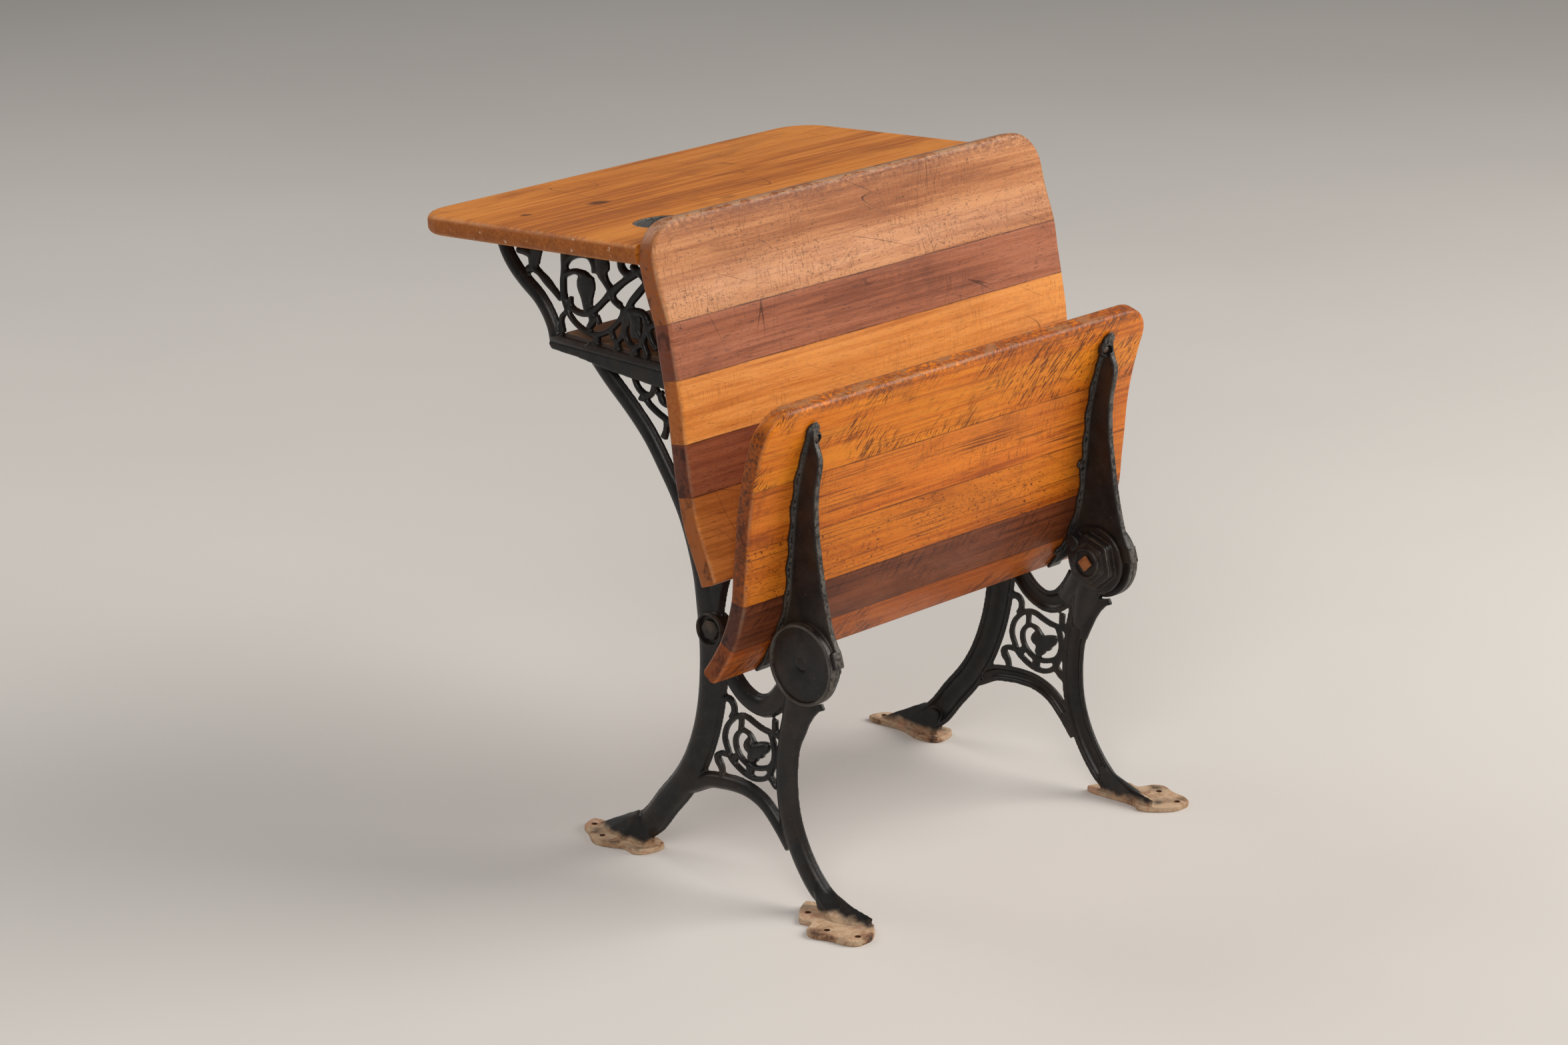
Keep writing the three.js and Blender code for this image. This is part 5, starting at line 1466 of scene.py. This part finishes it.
@dataclass
class Standard:
    """One cast-iron standard: legs, feet, strut, upright, rail, scrollwork and flanges."""

    side: Side
    back: float = MIDDLE + 1
    crown: float = MIDDLE + 13
    wall: float = 3.6
    lip: float = MIDDLE - 4
    scroll_width: float = 5.0
    scroll_spare: float = 0.5
    scroll_crown: float = MIDDLE + 6.6
    waist: float = 37.0
    crown_fall: float = 0.2
    toe_drop: float = 6.5
    toe_points: int = 10
    ear: float = 34.0
    boss: float = 16.4
    swing: float = 40.2
    recess: float = 14.0
    recess_depth: float = 3.5
    ring: tuple[tuple[float, float], ...] = (
        (14.1, -3.0), (14.1, 0.5), (14.6, 1.1), (15.6, 1.1), (16.3, 0.4), (16.6, -3.0),
    )
    hinge_bore: float = 5.3
    bolt_bore: float = 4.8
    foot_plate: float = 5.5
    hole: float = 3.0
    grain: float = 1.1
    spans: int = 4

    def build(self) -> None:
        """Casts the standard and puts it in its place."""
        mirror = self.side is Side.LEFT
        piece = make(f"casting_{self.side.word}", self.members(), mirror)
        carve(piece, self.channels(), mirror)
        join(piece, make("rest", self.additions(), mirror))
        fuse(piece, self.grain, 3, 0.45)
        for cutters in self.spaces():
            carve(piece, cutters, mirror, tangled=False)
        shade(piece, 50)
        join(piece, *self.foot_plates(mirror), self.bolt_ring(mirror))
        hold_inside(piece)
        dress(piece, "standard")
        self.paint_hole_shade(piece)
        seat_in(piece, "frame", "cast_iron_black", f"standard_{self.side.word}")

    def lines(self) -> list[tuple[np.ndarray, np.ndarray, np.ndarray]]:
        """The middle line, the widths and the crowns of each member.

        Returns:
            One set for each member. A crown sinks as the member gets narrower, and where it runs
            out on a foot.
        """
        made = []
        for name, (shares, widths) in MEMBERS.items():
            line = smooth(plan(shares), self.spans)
            across = np.interp(np.linspace(0, len(widths) - 1, len(line)), range(len(widths)), widths)
            if name == "rear":
                line = line - normals(line) * across[:, None] / 2
            crowns = self.crown - (self.waist - np.minimum(across, self.waist)) * self.crown_fall
            if name in ("rear", "leg"):
                toe = (np.arange(len(line)) - len(line) + self.toe_points) / (self.toe_points - 1)
                crowns -= self.toe_drop * np.clip(toe, 0, 1) ** 1.5
            made.append((line, across, crowns))
        return made

    def members(self) -> list[Shell]:
        """The members, solid."""
        return [bar(line, widths, FLANGE_SECTION, self.back, crowns)
                for line, widths, crowns in self.lines()]

    def channels(self) -> list[Shell]:
        """The hollow inner side of the members."""
        cut = self.spans
        return [bar(line[cut:-cut], widths[cut:-cut] - self.wall * 2, CORE_SECTION,
                    self.back - 3, crowns[cut:-cut] - self.wall)
                for line, widths, crowns in self.lines()]

    def additions(self) -> list[Shell]:
        """What is cast on to the members."""
        knob = smooth(np.array([from_hinge(*spot) for spot in KNOB]), 4, True)
        return [
            *self.scrollwork(), self.leaf(), self.rail(), *self.flanges(),
            slab(circle(HINGE, self.ear, 48), MIDDLE - 3, MIDDLE + 0.8),
            slab(self.cam(), MIDDLE - 10, MIDDLE - 2), *self.roots(),
            slab(circle(FRAME_BOLT, self.boss, 40), MIDDLE - 4, self.crown),
            slab(HINGE + np.array(LUG), MIDDLE + 1, MIDDLE + 5.2),
            slab(knob, MIDDLE - 14, MIDDLE - 2), *self.swells(),
        ]

    def scrollwork(self) -> list[Shell]:
        """The scrolls, each a bar with a rounded crown.

        Returns:
            One shell for each stroke.
        """
        frets = []
        for stroke in map(np.array, SCROLLS):
            widths = stroke[:, 2] * self.scroll_width + self.scroll_spare
            line = evenly(smooth(np.column_stack([plan(stroke[:, :2]), widths]), 8), 2.5)
            frets.append(bar(line[:, :2], line[:, 2], FRET_SECTION, self.back,
                             np.full(len(line), self.scroll_crown)))
        return frets

    def leaf(self) -> Shell:
        """The domed leaf in the middle of the spiral.

        Returns:
            Its shell.
        """
        leaf = smooth(plan(LEAF), 4, True)
        middle = leaf.mean(0)
        domed = [np.column_stack([np.full(len(leaf), x), middle + (leaf - middle) * share])
                 for x, share in ((self.back, 1.0), (MIDDLE + 5, 1.0), (MIDDLE + 7.6, 0.86),
                                  (MIDDLE + 9.4, 0.62), (MIDDLE + 10.2, 0.3))]
        return loft(domed)

    def rail(self) -> Shell:
        """The rail, with a broad chamfer along the top of its outer face.

        Returns:
            Its shell.
        """
        outline = plan(RAIL)
        worn = outline - np.array([(0, 0), (0, 0), (0, 0), (0, 0), (2, 1), (4, 6), (0, 6)])
        return loft([np.column_stack([np.full(len(line), x), line])
                     for x, line in ((self.lip, outline), (self.crown - 6, outline), (self.crown, worn))])

    @staticmethod
    def cam(radius: float = 29.0, sides: int = 6, turn: float = 0.3) -> np.ndarray:
        """The six-sided step round the pivot, with rounded corners.

        Args:
            radius: from the pivot to a corner.
            sides: how many sides it has.
            turn: how far it is turned, in radians.

        Returns:
            Its outline, Y and Z.
        """
        corners = circle(HINGE, radius, sides) - HINGE
        spin = np.array([[math.cos(turn), -math.sin(turn)], [math.sin(turn), math.cos(turn)]])
        corners = corners @ spin.T + HINGE
        cut = []
        for before, here, after in zip(np.roll(corners, 1, 0), corners, np.roll(corners, -1, 0)):
            cut += [here + (before - here) * 0.2, here + (before - here) * 0.06,
                    here + (after - here) * 0.06, here + (after - here) * 0.2]
        return np.array(cut)

    def flanges(self) -> list[Shell]:
        """What the boards are screwed to.

        Returns:
            One shell for each board.
        """
        ledge_top = SHELF_TOP - SHELF_BOARD
        return [
            slab(PANEL.strip(0.07, 1.0, 21.4, 26), MIDDLE - 25, MIDDLE + 8),
            block((MIDDLE - 25, 0, -5), (MIDDLE + 8, 252, -0.3), on_desk),
            block((MIDDLE - 25, SHELF_REAR - SHELF_DEPTH, ledge_top - 4),
                  (self.crown - self.wall, SHELF_REAR, ledge_top - 0.3)),
        ]

    def roots(self) -> list[Shell]:
        """Where the leg and the saddle thicken inward to carry the hinge.

        Returns:
            Their two shells.
        """
        made = []
        for shares, start, end in ROOTS:
            line = smooth(plan(shares), 6)
            share = np.linspace(0, 1, len(line))
            made.append(bar(line, start + (end - start) * share, CORE_SECTION, MIDDLE + 6,
                            MIDDLE - 9.5 + 12 * share ** 1.6))
        return made

    def foot_plates(self, mirror: bool) -> list[bpy.types.Object]:
        """The two lobed foot plates, with worn rims and three screw holes each.

        Args:
            mirror: whether X is turned round.

        Returns:
            The two plates.
        """
        made = []
        for shares, spots in ((FRONT_FOOT, FRONT_HOLES), (REAR_FOOT, REAR_HOLES)):
            outline = smooth(on_floor(shares), 5, True)
            foot = rounded(make("foot", [plate(outline, 0, self.foot_plate)], mirror), 1.0)
            carve(foot, self.drills(spots, 22, 24), mirror)
            shade(foot, 8)
            made.append(foot)
        return made

    def drills(self, spots: Sequence[tuple[float, float]], top: float, sides: int) -> list[Shell]:
        """What is drilled away at the screw holes of a foot, up to a height."""
        return [lathe([(self.hole, -4), (self.hole, top)], np.array([*place, 0.0]), Z_WAY, sides)
                for place in on_floor(spots)]

    def paint_hole_shade(self, piece: bpy.types.Object) -> None:
        """Paints shade on the walls of the screw holes in the feet, with a dark rusty finish.

        Args:
            piece: the casting.
        """
        piece.data.materials.append(FINISHES["hole"].build())
        places = on_floor(FRONT_HOLES + REAR_HOLES)
        for face in piece.data.polygons:
            x, y, z = (part / MM for part in face.center)
            if z < self.foot_plate - 0.1 and abs(face.normal.z) < 0.95:
                if np.hypot(abs(x) - places[:, 0], y - places[:, 1]).min() < self.hole:
                    face.material_index = 1

    def bolt_ring(self, mirror: bool) -> bpy.types.Object:
        """The thin raised ring round the recess of the waist bolt.

        Args:
            mirror: whether X is turned round.

        Returns:
            The ring.
        """
        profile = [(radius, self.crown + rise) for radius, rise in self.ring]
        ring = make("bolt_ring", [bored(lathe(profile, BOLT_AXIS, X_WAY, 56), 56)], mirror)
        shade(ring, 60)
        return ring

    @staticmethod
    def swells() -> list[Shell]:
        """The swells where the legs run out on the foot plates."""
        return [hull(np.array(points) * (1, STAND[0], 1) + (0, SHIFT, 0)) for points in SWELLS]

    def spaces(self) -> tuple[list[Shell], list[Shell]]:
        """Everything that the casting leaves free.

        Returns:
            Two groups of shells, each without overlaps of its own.
        """
        reach = self.crown + 3
        wide = [
            lathe([(self.swing, MIDDLE + 0.8), (self.swing, reach)], HINGE_AXIS, X_WAY, 64),
            lathe([(self.recess, self.crown - self.recess_depth), (self.recess + 0.6, reach)],
                  BOLT_AXIS, X_WAY, 40),
            slab(PANEL_SPACE, INSIDE, OUTSIDE),
            block((INSIDE, SHELF_REAR - SHELF_DEPTH - 0.3, 480.6), (self.lip, SHELF_REAR + 0.3, 493)),
            block((INSIDE, -330, -30), (OUTSIDE, 330, 0)),
        ]
        narrow = [
            lathe([(self.hinge_bore, 100), (self.hinge_bore, reach)], HINGE_AXIS, X_WAY, 24),
            lathe([(self.bolt_bore, 100), (self.bolt_bore, reach)], BOLT_AXIS, X_WAY, 24),
            block((INSIDE, -60, -0.3), (OUTSIDE, 330, 60), on_desk),
            *self.drills(FRONT_HOLES + REAR_HOLES, self.foot_plate + 0.5, 20),
        ]
        if self.side is Side.LEFT:
            centre = on_desk(np.array([[-WELL[0], WELL[1], 0.0]]))[0]
            wide.append(lathe([(WELL_HOLE, -20), (WELL_HOLE, 30)], centre, DESK_UP, 48))
        return wide, narrow


@dataclass
class SeatArm:
    """One arm of the seat, with the disc of its hinge."""

    side: Side
    inner: float = MIDDLE + 1.5
    web: float = 7.0
    flange: float = 16.0
    scallop: float = 2.0
    scallops: int = 9
    finger: float = 8.0
    flange_board: float = 3.5
    disc: float = 39.0
    disc_low: float = MIDDLE + 5
    disc_top: float = MIDDLE + 17
    stop_root: float = 30.0
    stop_reach: float = 43.5
    stop_board: float = 12.0
    stop_angles: tuple[float, float] = (6.0, 28.0)
    span: tuple[float, float] = (0.060, 0.985)
    cup_share: float = 0.115
    boss_shares: tuple[float, float] = (0.55, 0.90)
    grain: float = 0.95
    edge: tuple[tuple[float, float], ...] = (
        (-0.297, 0.824), (-0.301, 0.790), (-0.315, 0.762), (-0.303, 0.708), (-0.303, 0.652),
        (-0.315, 0.591), (-0.332, 0.530), (-0.354, 0.478), (-0.376, 0.450),
    )

    def build(self) -> None:
        """Casts the arm and puts it in its place."""
        mirror = self.side is Side.LEFT
        piece = make(f"arm_casting_{self.side.word}", self.shells(), mirror)
        carve(piece, self.spaces(), mirror)
        fuse(piece, self.grain, 4, 0.5)
        disc = make("disc", [self.disc_face()], mirror)
        shade(disc, 70)
        join(piece, disc)
        # The crest of the disc's rim gets the rim finish, a painted highlight.
        paint_over(dress(piece, "arm"), "rim", self.disc_top - 0.8)
        seat_in(piece, "seat", "cast_iron_black", f"seat_arm_{self.side.word}")

    def shells(self) -> list[Shell]:
        """What the arm is cast of.

        Returns:
            Flange, web, stop, disc, cup of the tip screw and screw bosses.
        """
        tip, tail = (share * SEAT.length for share in self.span)
        along = np.linspace(tip, tail, 120)
        scallops = self.flange + self.scallop * np.cos(np.linspace(0, self.scallops * 2 * math.pi, 120))
        scallops = scallops * self.finger_shape(along - tip)
        near, far = SEAT.at(along, -0.3), SEAT.at(along, -self.flange_board)
        middle = MIDDLE + 5
        rings = [np.array([(middle - w, *a), (middle + w, *a), (middle + w, *b), (middle - w, *b)])
                 for a, b, w in zip(near, far, scallops / 2)]
        board = SEAT.at(np.linspace(tail, tip, 60), -self.flange_board / 2)
        lower = [from_hinge(self.stop_root, angle) for angle in np.linspace(6, -180, 24)]
        first, last = self.stop_angles
        outline = np.vstack([smooth(plan(self.edge), 5), from_hinge(self.stop_reach, first), lower, board])
        stop = np.array([from_hinge(self.stop_root, first), from_hinge(self.stop_reach, first),
                         from_hinge(self.stop_reach, last), from_hinge(self.stop_root, last)])
        low, top = self.disc_low, self.disc_top - 5.2
        rim = [(0.1, low), (self.disc, low), (self.disc, top), (0.1, top)]
        cup_start, cup_way = self.spot(self.cup_share, self.flange_board + 3.0)
        made = [loft(rings), slab(outline, self.inner, self.inner + self.web),
                slab(stop, self.inner, self.inner + self.stop_board),
                lathe(rim, HINGE_AXIS, X_WAY, 96),
                lathe([(6.0, 0), (7.2, 1.0), (7.6, self.flange_board + 2.5)], cup_start, cup_way)]
        for share in self.boss_shares:
            start, way = self.spot(share, self.flange_board)
            start = start + (self.inner - 5 - MIDDLE - 1.5) * X_WAY
            made.append(lathe([(4.2, 0), (4.8, 0.8), (5.0, self.flange_board - 0.3)], start, way))
        return made

    def disc_face(self) -> Shell:
        """The face of the hinge disc.

        Returns:
            A shell with a thin raised rim, a flat field and a dimple round the bolt.
        """
        top, edge = self.disc_top, self.disc + 0.1
        profile = [(6.4, top - 6.0), (edge, top - 6.0), (edge, top - 1.6), (edge - 0.5, top - 0.6),
                   (edge - 1.5, top), (edge - 2.7, top), (edge - 3.5, top - 0.8), (edge - 4.1, top - 2.5),
                   (9.0, top - 2.5), (7.4, top - 3.0), (6.4, top - 3.3)]
        return bored(lathe(profile, HINGE_AXIS, X_WAY, 96), 96)

    def finger_shape(self, away: np.ndarray) -> np.ndarray:
        """The share of its width that the flange has at a distance from its tip.

        Args:
            away: distances from the tip, in millimetres.

        Returns:
            Shares that round the end off and draw a neck in behind the tip screw.
        """
        end = np.sqrt(1 - np.clip(1 - away / self.finger, 0, 0.97) ** 2)
        neck = 1 - 0.22 * np.exp(-((away - 27) / 9) ** 2)
        return end * neck

    def spot(self, share: float, lift: float) -> tuple[np.ndarray, np.ndarray]:
        """A place on the underside of the seat.

        Args:
            share: the share of the seat's length.
            lift: how far it lies off the board.

        Returns:
            The place, and the unit direction into the board.
        """
        along = share * SEAT.length
        here, behind = SEAT.at(along, -lift), SEAT.at(along, 10.0)
        way = (behind - here) / np.linalg.norm(behind - here)
        return np.array([self.inner, *here]), np.array([0.0, *way])

    def spaces(self) -> list[Shell]:
        """Everything that the arm leaves free.

        Returns:
            The seat of the tip screw, the bore of the hinge and the seat board.
        """
        cup, way = self.spot(self.cup_share, self.flange_board + 3.0)
        return [
            lathe([(5.4, -3), (5.0, 3.1)], cup, way, 32),
            lathe([(5.3, 100), (5.3, 210.4), (6.8, 210.5), (6.8, 230)], HINGE_AXIS, X_WAY, 40),
            slab(SEAT.strip(0, 1, -0.25, 19), INSIDE, OUTSIDE),
        ]


# Desk top, shelf, inkwell


@dataclass
class DeskTop:
    """The sloping desk top with its round hole for the inkwell."""

    width: float = 533.0
    depth: float = 305.0
    board: float = 19.0
    corner: float = 40.0
    rounding: float = 6.8
    tongue: float = 8.0
    rebate: tuple[float, float] = (29.3, 17.2)

    def build(self) -> None:
        """Builds the board and cuts the hole."""
        side, radius = self.width / 2, self.corner
        right = [(side - radius + radius * math.cos(t), self.depth - radius + radius * math.sin(t))
                 for t in QUARTER_TURN]
        ring = [(-side, -self.tongue), (side, -self.tongue), *right,
                *[(-x, y) for x, y in right[::-1]]]
        work = bmesh.new()
        raise_board(work, ring, self.board)
        rims = [e for e in work.edges if abs(e.verts[0].co.z - e.verts[1].co.z) < NEAR
                and max(v.co.y for v in e.verts) > 0.1 - self.tongue]
        bmesh.ops.bevel(work, geom=rims, offset=self.rounding, segments=6, profile=0.5,
                        affect="EDGES")
        for vert in work.verts:
            vert.co = Vector(on_desk(np.array([vert.co]))[0]) * MM
        piece = linked("desk_board", bpy.data.meshes.new("desk_board"), work)
        centre = on_desk(np.array([[*WELL, 0.0]]))[0]
        wide, floor = self.rebate
        well = [(WELL_HOLE, -10), (WELL_HOLE, floor), (wide, floor), (wide, 40)]
        carve(piece, [lathe(well, centre, DESK_UP, 64), slab(PANEL_SPACE, -280, 280)])
        shade(piece, 32)
        dress(piece, "desk")
        seat_in(piece, "frame", "wood_desk", "desk_top")


@dataclass
class Inkwell:
    """The metal cup in the desk top."""

    radius: float = 27.0
    rim: float = 2.0
    wall: float = 1.5
    depth: float = 27.0
    top: float = 17.5

    def build(self) -> None:
        """Turns the cup."""
        low, edge = self.top - self.depth, self.radius + self.rim
        profile = [(0.1, low), (self.radius - 1, low), (self.radius, low + 1), (self.radius, self.top),
                   (edge, self.top), (edge, self.top + 0.7), (edge - 0.6, self.top + 1.2),
                   (self.radius - 0.9, self.top + 1.2), (self.radius - self.wall, self.top + 0.6),
                   (self.radius - self.wall, low + 3), (self.radius - 3, low + self.wall),
                   (0.1, low + self.wall)]
        centre = on_desk(np.array([[*WELL, 0.0]]))[0]
        piece = make("ink_cup", [lathe(profile, centre, DESK_UP, 72)])
        shade(piece, 40)
        dress(piece, "pewter")
        seat_in(piece, "frame", "pewter_grey", "inkwell_cup")


# Hinge fittings and fasteners


@dataclass
class HingeFittings:
    """The pivot bolt, its nut, the cupped washer and the six-sided collar."""

    side: Side
    cup: tuple[tuple[float, float], ...] = (
        (5.4, 186.4), (15.4, 186.4), (15.5, 185.0), (15.2, 184.0), (14.4, 183.4), (13.4, 183.5),
        (12.9, 184.2), (12.6, 185.5), (5.4, 185.5),
    )
    pin: tuple[tuple[float, float], ...] = (
        (0.1, 179.9), (1.6, 179.9), (3.6, 180.6), (4.6, 181.6), (5.0, 182.6), (5.0, 211.4),
        (6.2, 211.4), (6.2, 213.1), (5.4, 213.7), (0.1, 213.8),
    )
    nut: float = 8.1
    nut_span: tuple[float, float] = (181.9, 185.2)
    nut_round: float = 0.72
    bare_end: float = 205.0

    def build(self) -> None:
        """Makes the four pieces of one side."""
        mirror = self.side is Side.LEFT
        word = self.side.word
        collar = make(f"collar_{word}", [self.collar()], mirror)
        shade(collar, 50)
        seat_in(dress(collar, "arm"), "frame", "cast_iron_black", f"hinge_collar_{word}")
        washer = make(f"washer_{word}", [lathe(self.cup, HINGE_AXIS, X_WAY, 64)], mirror)
        shade(washer, 40)
        seat_in(dress(washer, "arm"), "frame", "steel_worn", f"hinge_washer_{word}")
        turned = HINGE + self.nut * np.array([(-1, 0), (0, -1), (1, 0), (0, 1)])
        nut = rounded(make(f"square_nut_{word}", [slab(turned, *self.nut_span)], mirror), self.nut_round)
        shade(nut, 40)
        seat_in(dress(nut, "bolt"), "frame", "steel_worn", f"hinge_nut_{word}")
        bolt = make(f"pivot_bolt_{word}", [lathe(self.pin, HINGE_AXIS, X_WAY, 40)], mirror)
        shade(bolt, 35)
        paint_over(dress(bolt, "bolt"), "arm", self.bare_end)
        seat_in(bolt, "frame", "steel_worn", f"hinge_bolt_{word}")

    @staticmethod
    def collar() -> Shell:
        """The six-sided collar, with a smaller rounded form on its face.

        Returns:
            The shell, with a bore for the bolt.
        """
        steps = [(189.6, 28.0), (188.5, 28.0), (187.9, 27.2), (187.8, 22.4), (187.0, 22.0), (186.5, 20.6)]
        outlines = [(x, Standard.cam(radius)) for x, radius in steps]
        spokes = outlines[0][1] - HINGE
        bore = HINGE + 5.4 * spokes / np.linalg.norm(spokes, axis=1)[:, None]
        rings = [np.column_stack([np.full(len(ring), x), ring])
                 for x, ring in [(189.6, bore), *outlines, (186.5, bore)]]
        return bored(loft(rings), len(bore))


@dataclass
class FrameBolt:
    """The bolt through the waist of a standard, and its nut."""

    side: Side
    head: float = 10.4
    head_span: tuple[float, float] = (209.6, 212.6)
    shank: tuple[tuple[float, float], ...] = (
        (0.1, 189.6), (3.6, 189.6), (4.5, 190.6), (4.5, 209.0), (0.1, 209.0),
    )
    nut: float = 7.2
    nut_span: tuple[float, float] = (191.2, 195.9)
    rounding: float = 0.6

    def build(self) -> None:
        """Makes both pieces of one side."""
        mirror = self.side is Side.LEFT
        word = self.side.word
        head = slab(circle(FRAME_BOLT, self.head, 6), *self.head_span)
        shank = lathe(self.shank, BOLT_AXIS, X_WAY, 28)
        bolt = make(f"waist_bolt_{word}", [head, shank], mirror)
        six_sided = slab(circle(FRAME_BOLT, self.nut, 6), *self.nut_span)
        nut = make(f"waist_nut_{word}", [six_sided], mirror)
        for piece, node in ((bolt, f"frame_bolt_{word}"), (nut, f"frame_nut_{word}")):
            shade(rounded(piece, self.rounding), 40)
            seat_in(dress(piece, "arm"), "frame", "steel_worn", node)


@dataclass
class Screws:
    """Every wood screw, remade with a round slotted head where its CAD node lies."""

    head: float = 4.0
    head_height: float = 2.6
    low_head: float = 1.1
    shank: float = 2.2
    head_from: float = 3.2
    slot: tuple[float, float, float] = (5.0, 0.6, 2.0)
    slot_turn: float = 0.6

    def build(self) -> None:
        """Makes all the screws."""
        names = sorted(name for name in frame["nodes"] if "screw" in name)
        for name in names:
            body = "seat" if name.startswith("arm_") else "frame"
            self.screw(name, body)

    def screw(self, node: str, body: str) -> None:
        """Makes one screw on the axis of its CAD node.

        Args:
            node: the CAD node.
            body: the body it rides on.
        """
        points = np.array([v.co for v in frame["nodes"][node].data.vertices]) / MM
        centre = points.mean(0)
        way = np.linalg.svd(points - centre)[2][0]
        along = (points - centre) @ way
        off = np.linalg.norm(points - centre - along[:, None] * way, axis=1)
        if along[off > self.head_from].mean() > 0:
            way, along = -way, -along
        ring = points[off > self.head_from]
        start = centre + way * ((ring - centre) @ way).max()
        axis = ring.mean(0) - way * ((ring.mean(0) - start) @ way)
        length = along.max() - (axis - centre) @ way
        painted = node.startswith("arm_screw")
        r, h = self.head, self.low_head if painted else self.head_height
        profile = [(0.1, -h), (r * 0.5, -h * 0.93), (r * 0.82, -h * 0.66), (r, -h * 0.2), (r, 0),
                   (self.shank, 0), (self.shank, length - 3), (0.1, length - 0.2)]
        piece = make(f"round_{node}", [lathe(profile, axis, way, 28)])
        across = np.cross(way, (1.0, 0.0, 0.0))
        across /= np.linalg.norm(across)
        lean = math.cos(self.slot_turn) * across + math.sin(self.slot_turn) * np.cross(way, across)
        other = np.cross(way, lean)
        long, wide, deep = self.slot
        corners = np.array([axis - way * (h + 1) + lean * a * long + other * b * wide for a, b in
                            ((-1, -1), (1, -1), (1, 1), (-1, 1))])
        carve(piece, [loft([corners, corners + way * deep])])
        shade(piece, 40)
        seat_in(dress(piece, "arm" if painted else "steel"), body, "steel_worn", node)


@dataclass
class BookShelf:
    """The board on the two rails."""

    half: float = 195.6
    rounding: float = 1.6

    def build(self) -> None:
        """Makes the board with softened edges."""
        low = (-self.half, SHELF_REAR - SHELF_DEPTH, SHELF_TOP - SHELF_BOARD)
        piece = make("shelf_board", [block(low, (self.half, SHELF_REAR, SHELF_TOP))])
        shade(rounded(piece, self.rounding, 4), 35)
        seat_in(dress(piece, "shelf"), "frame", "wood_shelf", "book_shelf")


# Studio


@dataclass
class Studio:
    """Pale floor, soft lamps and the photograph's camera."""

    eye: tuple[float, float, float] = (-2924.3, -2708.3, 1610.2)
    yaw: float = -45.98
    pitch: float = 18.147
    roll: float = 0.09
    lens: float = 100.95
    sensor: float = 36.0
    half_floor: float = 15000.0
    floor_board: float = 60.0
    sky: tuple[float, float, float, float] = (0.93, 0.92, 0.90, 1.0)
    sky_strength: float = 0.21
    lamps: tuple[tuple[str, tuple[float, float, float], float, float, Colour], ...] = (
        ("key", (2.3, -2.2, 2.6), 3.0, 156.0, (1.0, 0.95, 0.88)),
        ("fill", (-2.3, -1.7, 2.3), 1.6, 44.0, (1.0, 0.96, 0.92)),
        ("rim", (-0.6, 2.6, 2.6), 2.2, 38.0, (1.0, 0.96, 0.92)),
    )

    def build(self) -> None:
        """Sets up floor, world, lamps and camera."""
        half = self.half_floor
        floor = make("studio_floor", [block((-half, -half, -self.floor_board), (half, half, 0))])
        floor.data.materials.append(PaleFloor().build())
        self.world()
        for lamp in self.lamps:
            self.lamp(*lamp)
        self.camera()

    def world(self) -> None:
        """Sets up a pale, even world."""
        world = bpy.data.worlds.new("studio")
        bpy.context.scene.world = world
        world.use_nodes = True
        background = world.node_tree.nodes["Background"]
        background.inputs["Color"].default_value = self.sky
        background.inputs["Strength"].default_value = self.sky_strength

    @staticmethod
    def lamp(name: str, place: Sequence[float], size: float, power: float, colour: Colour) -> None:
        """Hangs a square soft lamp that looks at the middle of the desk.

        Args:
            name: its name.
            place: where it hangs, in metres.
            size: its side, in metres.
            power: its power, in watts.
            colour: its colour.
        """
        data = bpy.data.lights.new(name, "AREA")
        data.size, data.energy, data.color = size, power, colour
        lamp = bpy.data.objects.new(name, data)
        lamp.location = place
        lamp.rotation_euler = (Vector((0, 0, 0.32)) - Vector(place)).to_track_quat("-Z", "Y").to_euler()
        bpy.context.scene.collection.objects.link(lamp)

    def camera(self) -> None:
        """Puts the camera where the photograph was taken from."""
        data = bpy.data.cameras.new("camera")
        data.lens, data.sensor_width, data.sensor_fit = self.lens, self.sensor, "HORIZONTAL"
        data.clip_start, data.clip_end = 0.05, 60.0
        camera = bpy.data.objects.new("camera", data)
        x, y, z = self.eye
        camera.location = (x * MM, (y + SHIFT) * MM, z * MM)
        camera.rotation_euler = Euler((math.radians(90 - self.pitch), math.radians(self.roll),
                                       math.radians(self.yaw)), "XYZ")
        bpy.context.scene.collection.objects.link(camera)
        bpy.context.scene.camera = camera


def main() -> None:
    """Builds the desk piece by piece."""
    logging.basicConfig(level=logging.INFO, format="%(message)s")
    scene = bpy.context.scene
    scene.view_settings.view_transform = "Standard"
    Studio().build()
    light, dark = "wood_light", "wood_dark"
    BentBoard(name="back", face=PANEL, width=533.0, board=21.0, corner=38.0,
              seams=(0, 0.276, 0.432, 0.609, 0.755, 1), body="frame",
              slots=(light, dark, light, dark, light)).build()
    BentBoard(name="seat", face=SEAT, width=529.0, board=18.5, corner=34.0,
              seams=(0, 0.271, 0.4745, 0.667, 0.8415, 1), body="seat",
              slots=(light, light, light, dark, light)).build()
    DeskTop().build()
    BookShelf().build()
    Inkwell().build()
    for side in Side:
        Standard(side).build()
        SeatArm(side).build()
        HingeFittings(side).build()
        FrameBolt(side).build()
    Screws().build()


if __name__ == "__main__":
    main()
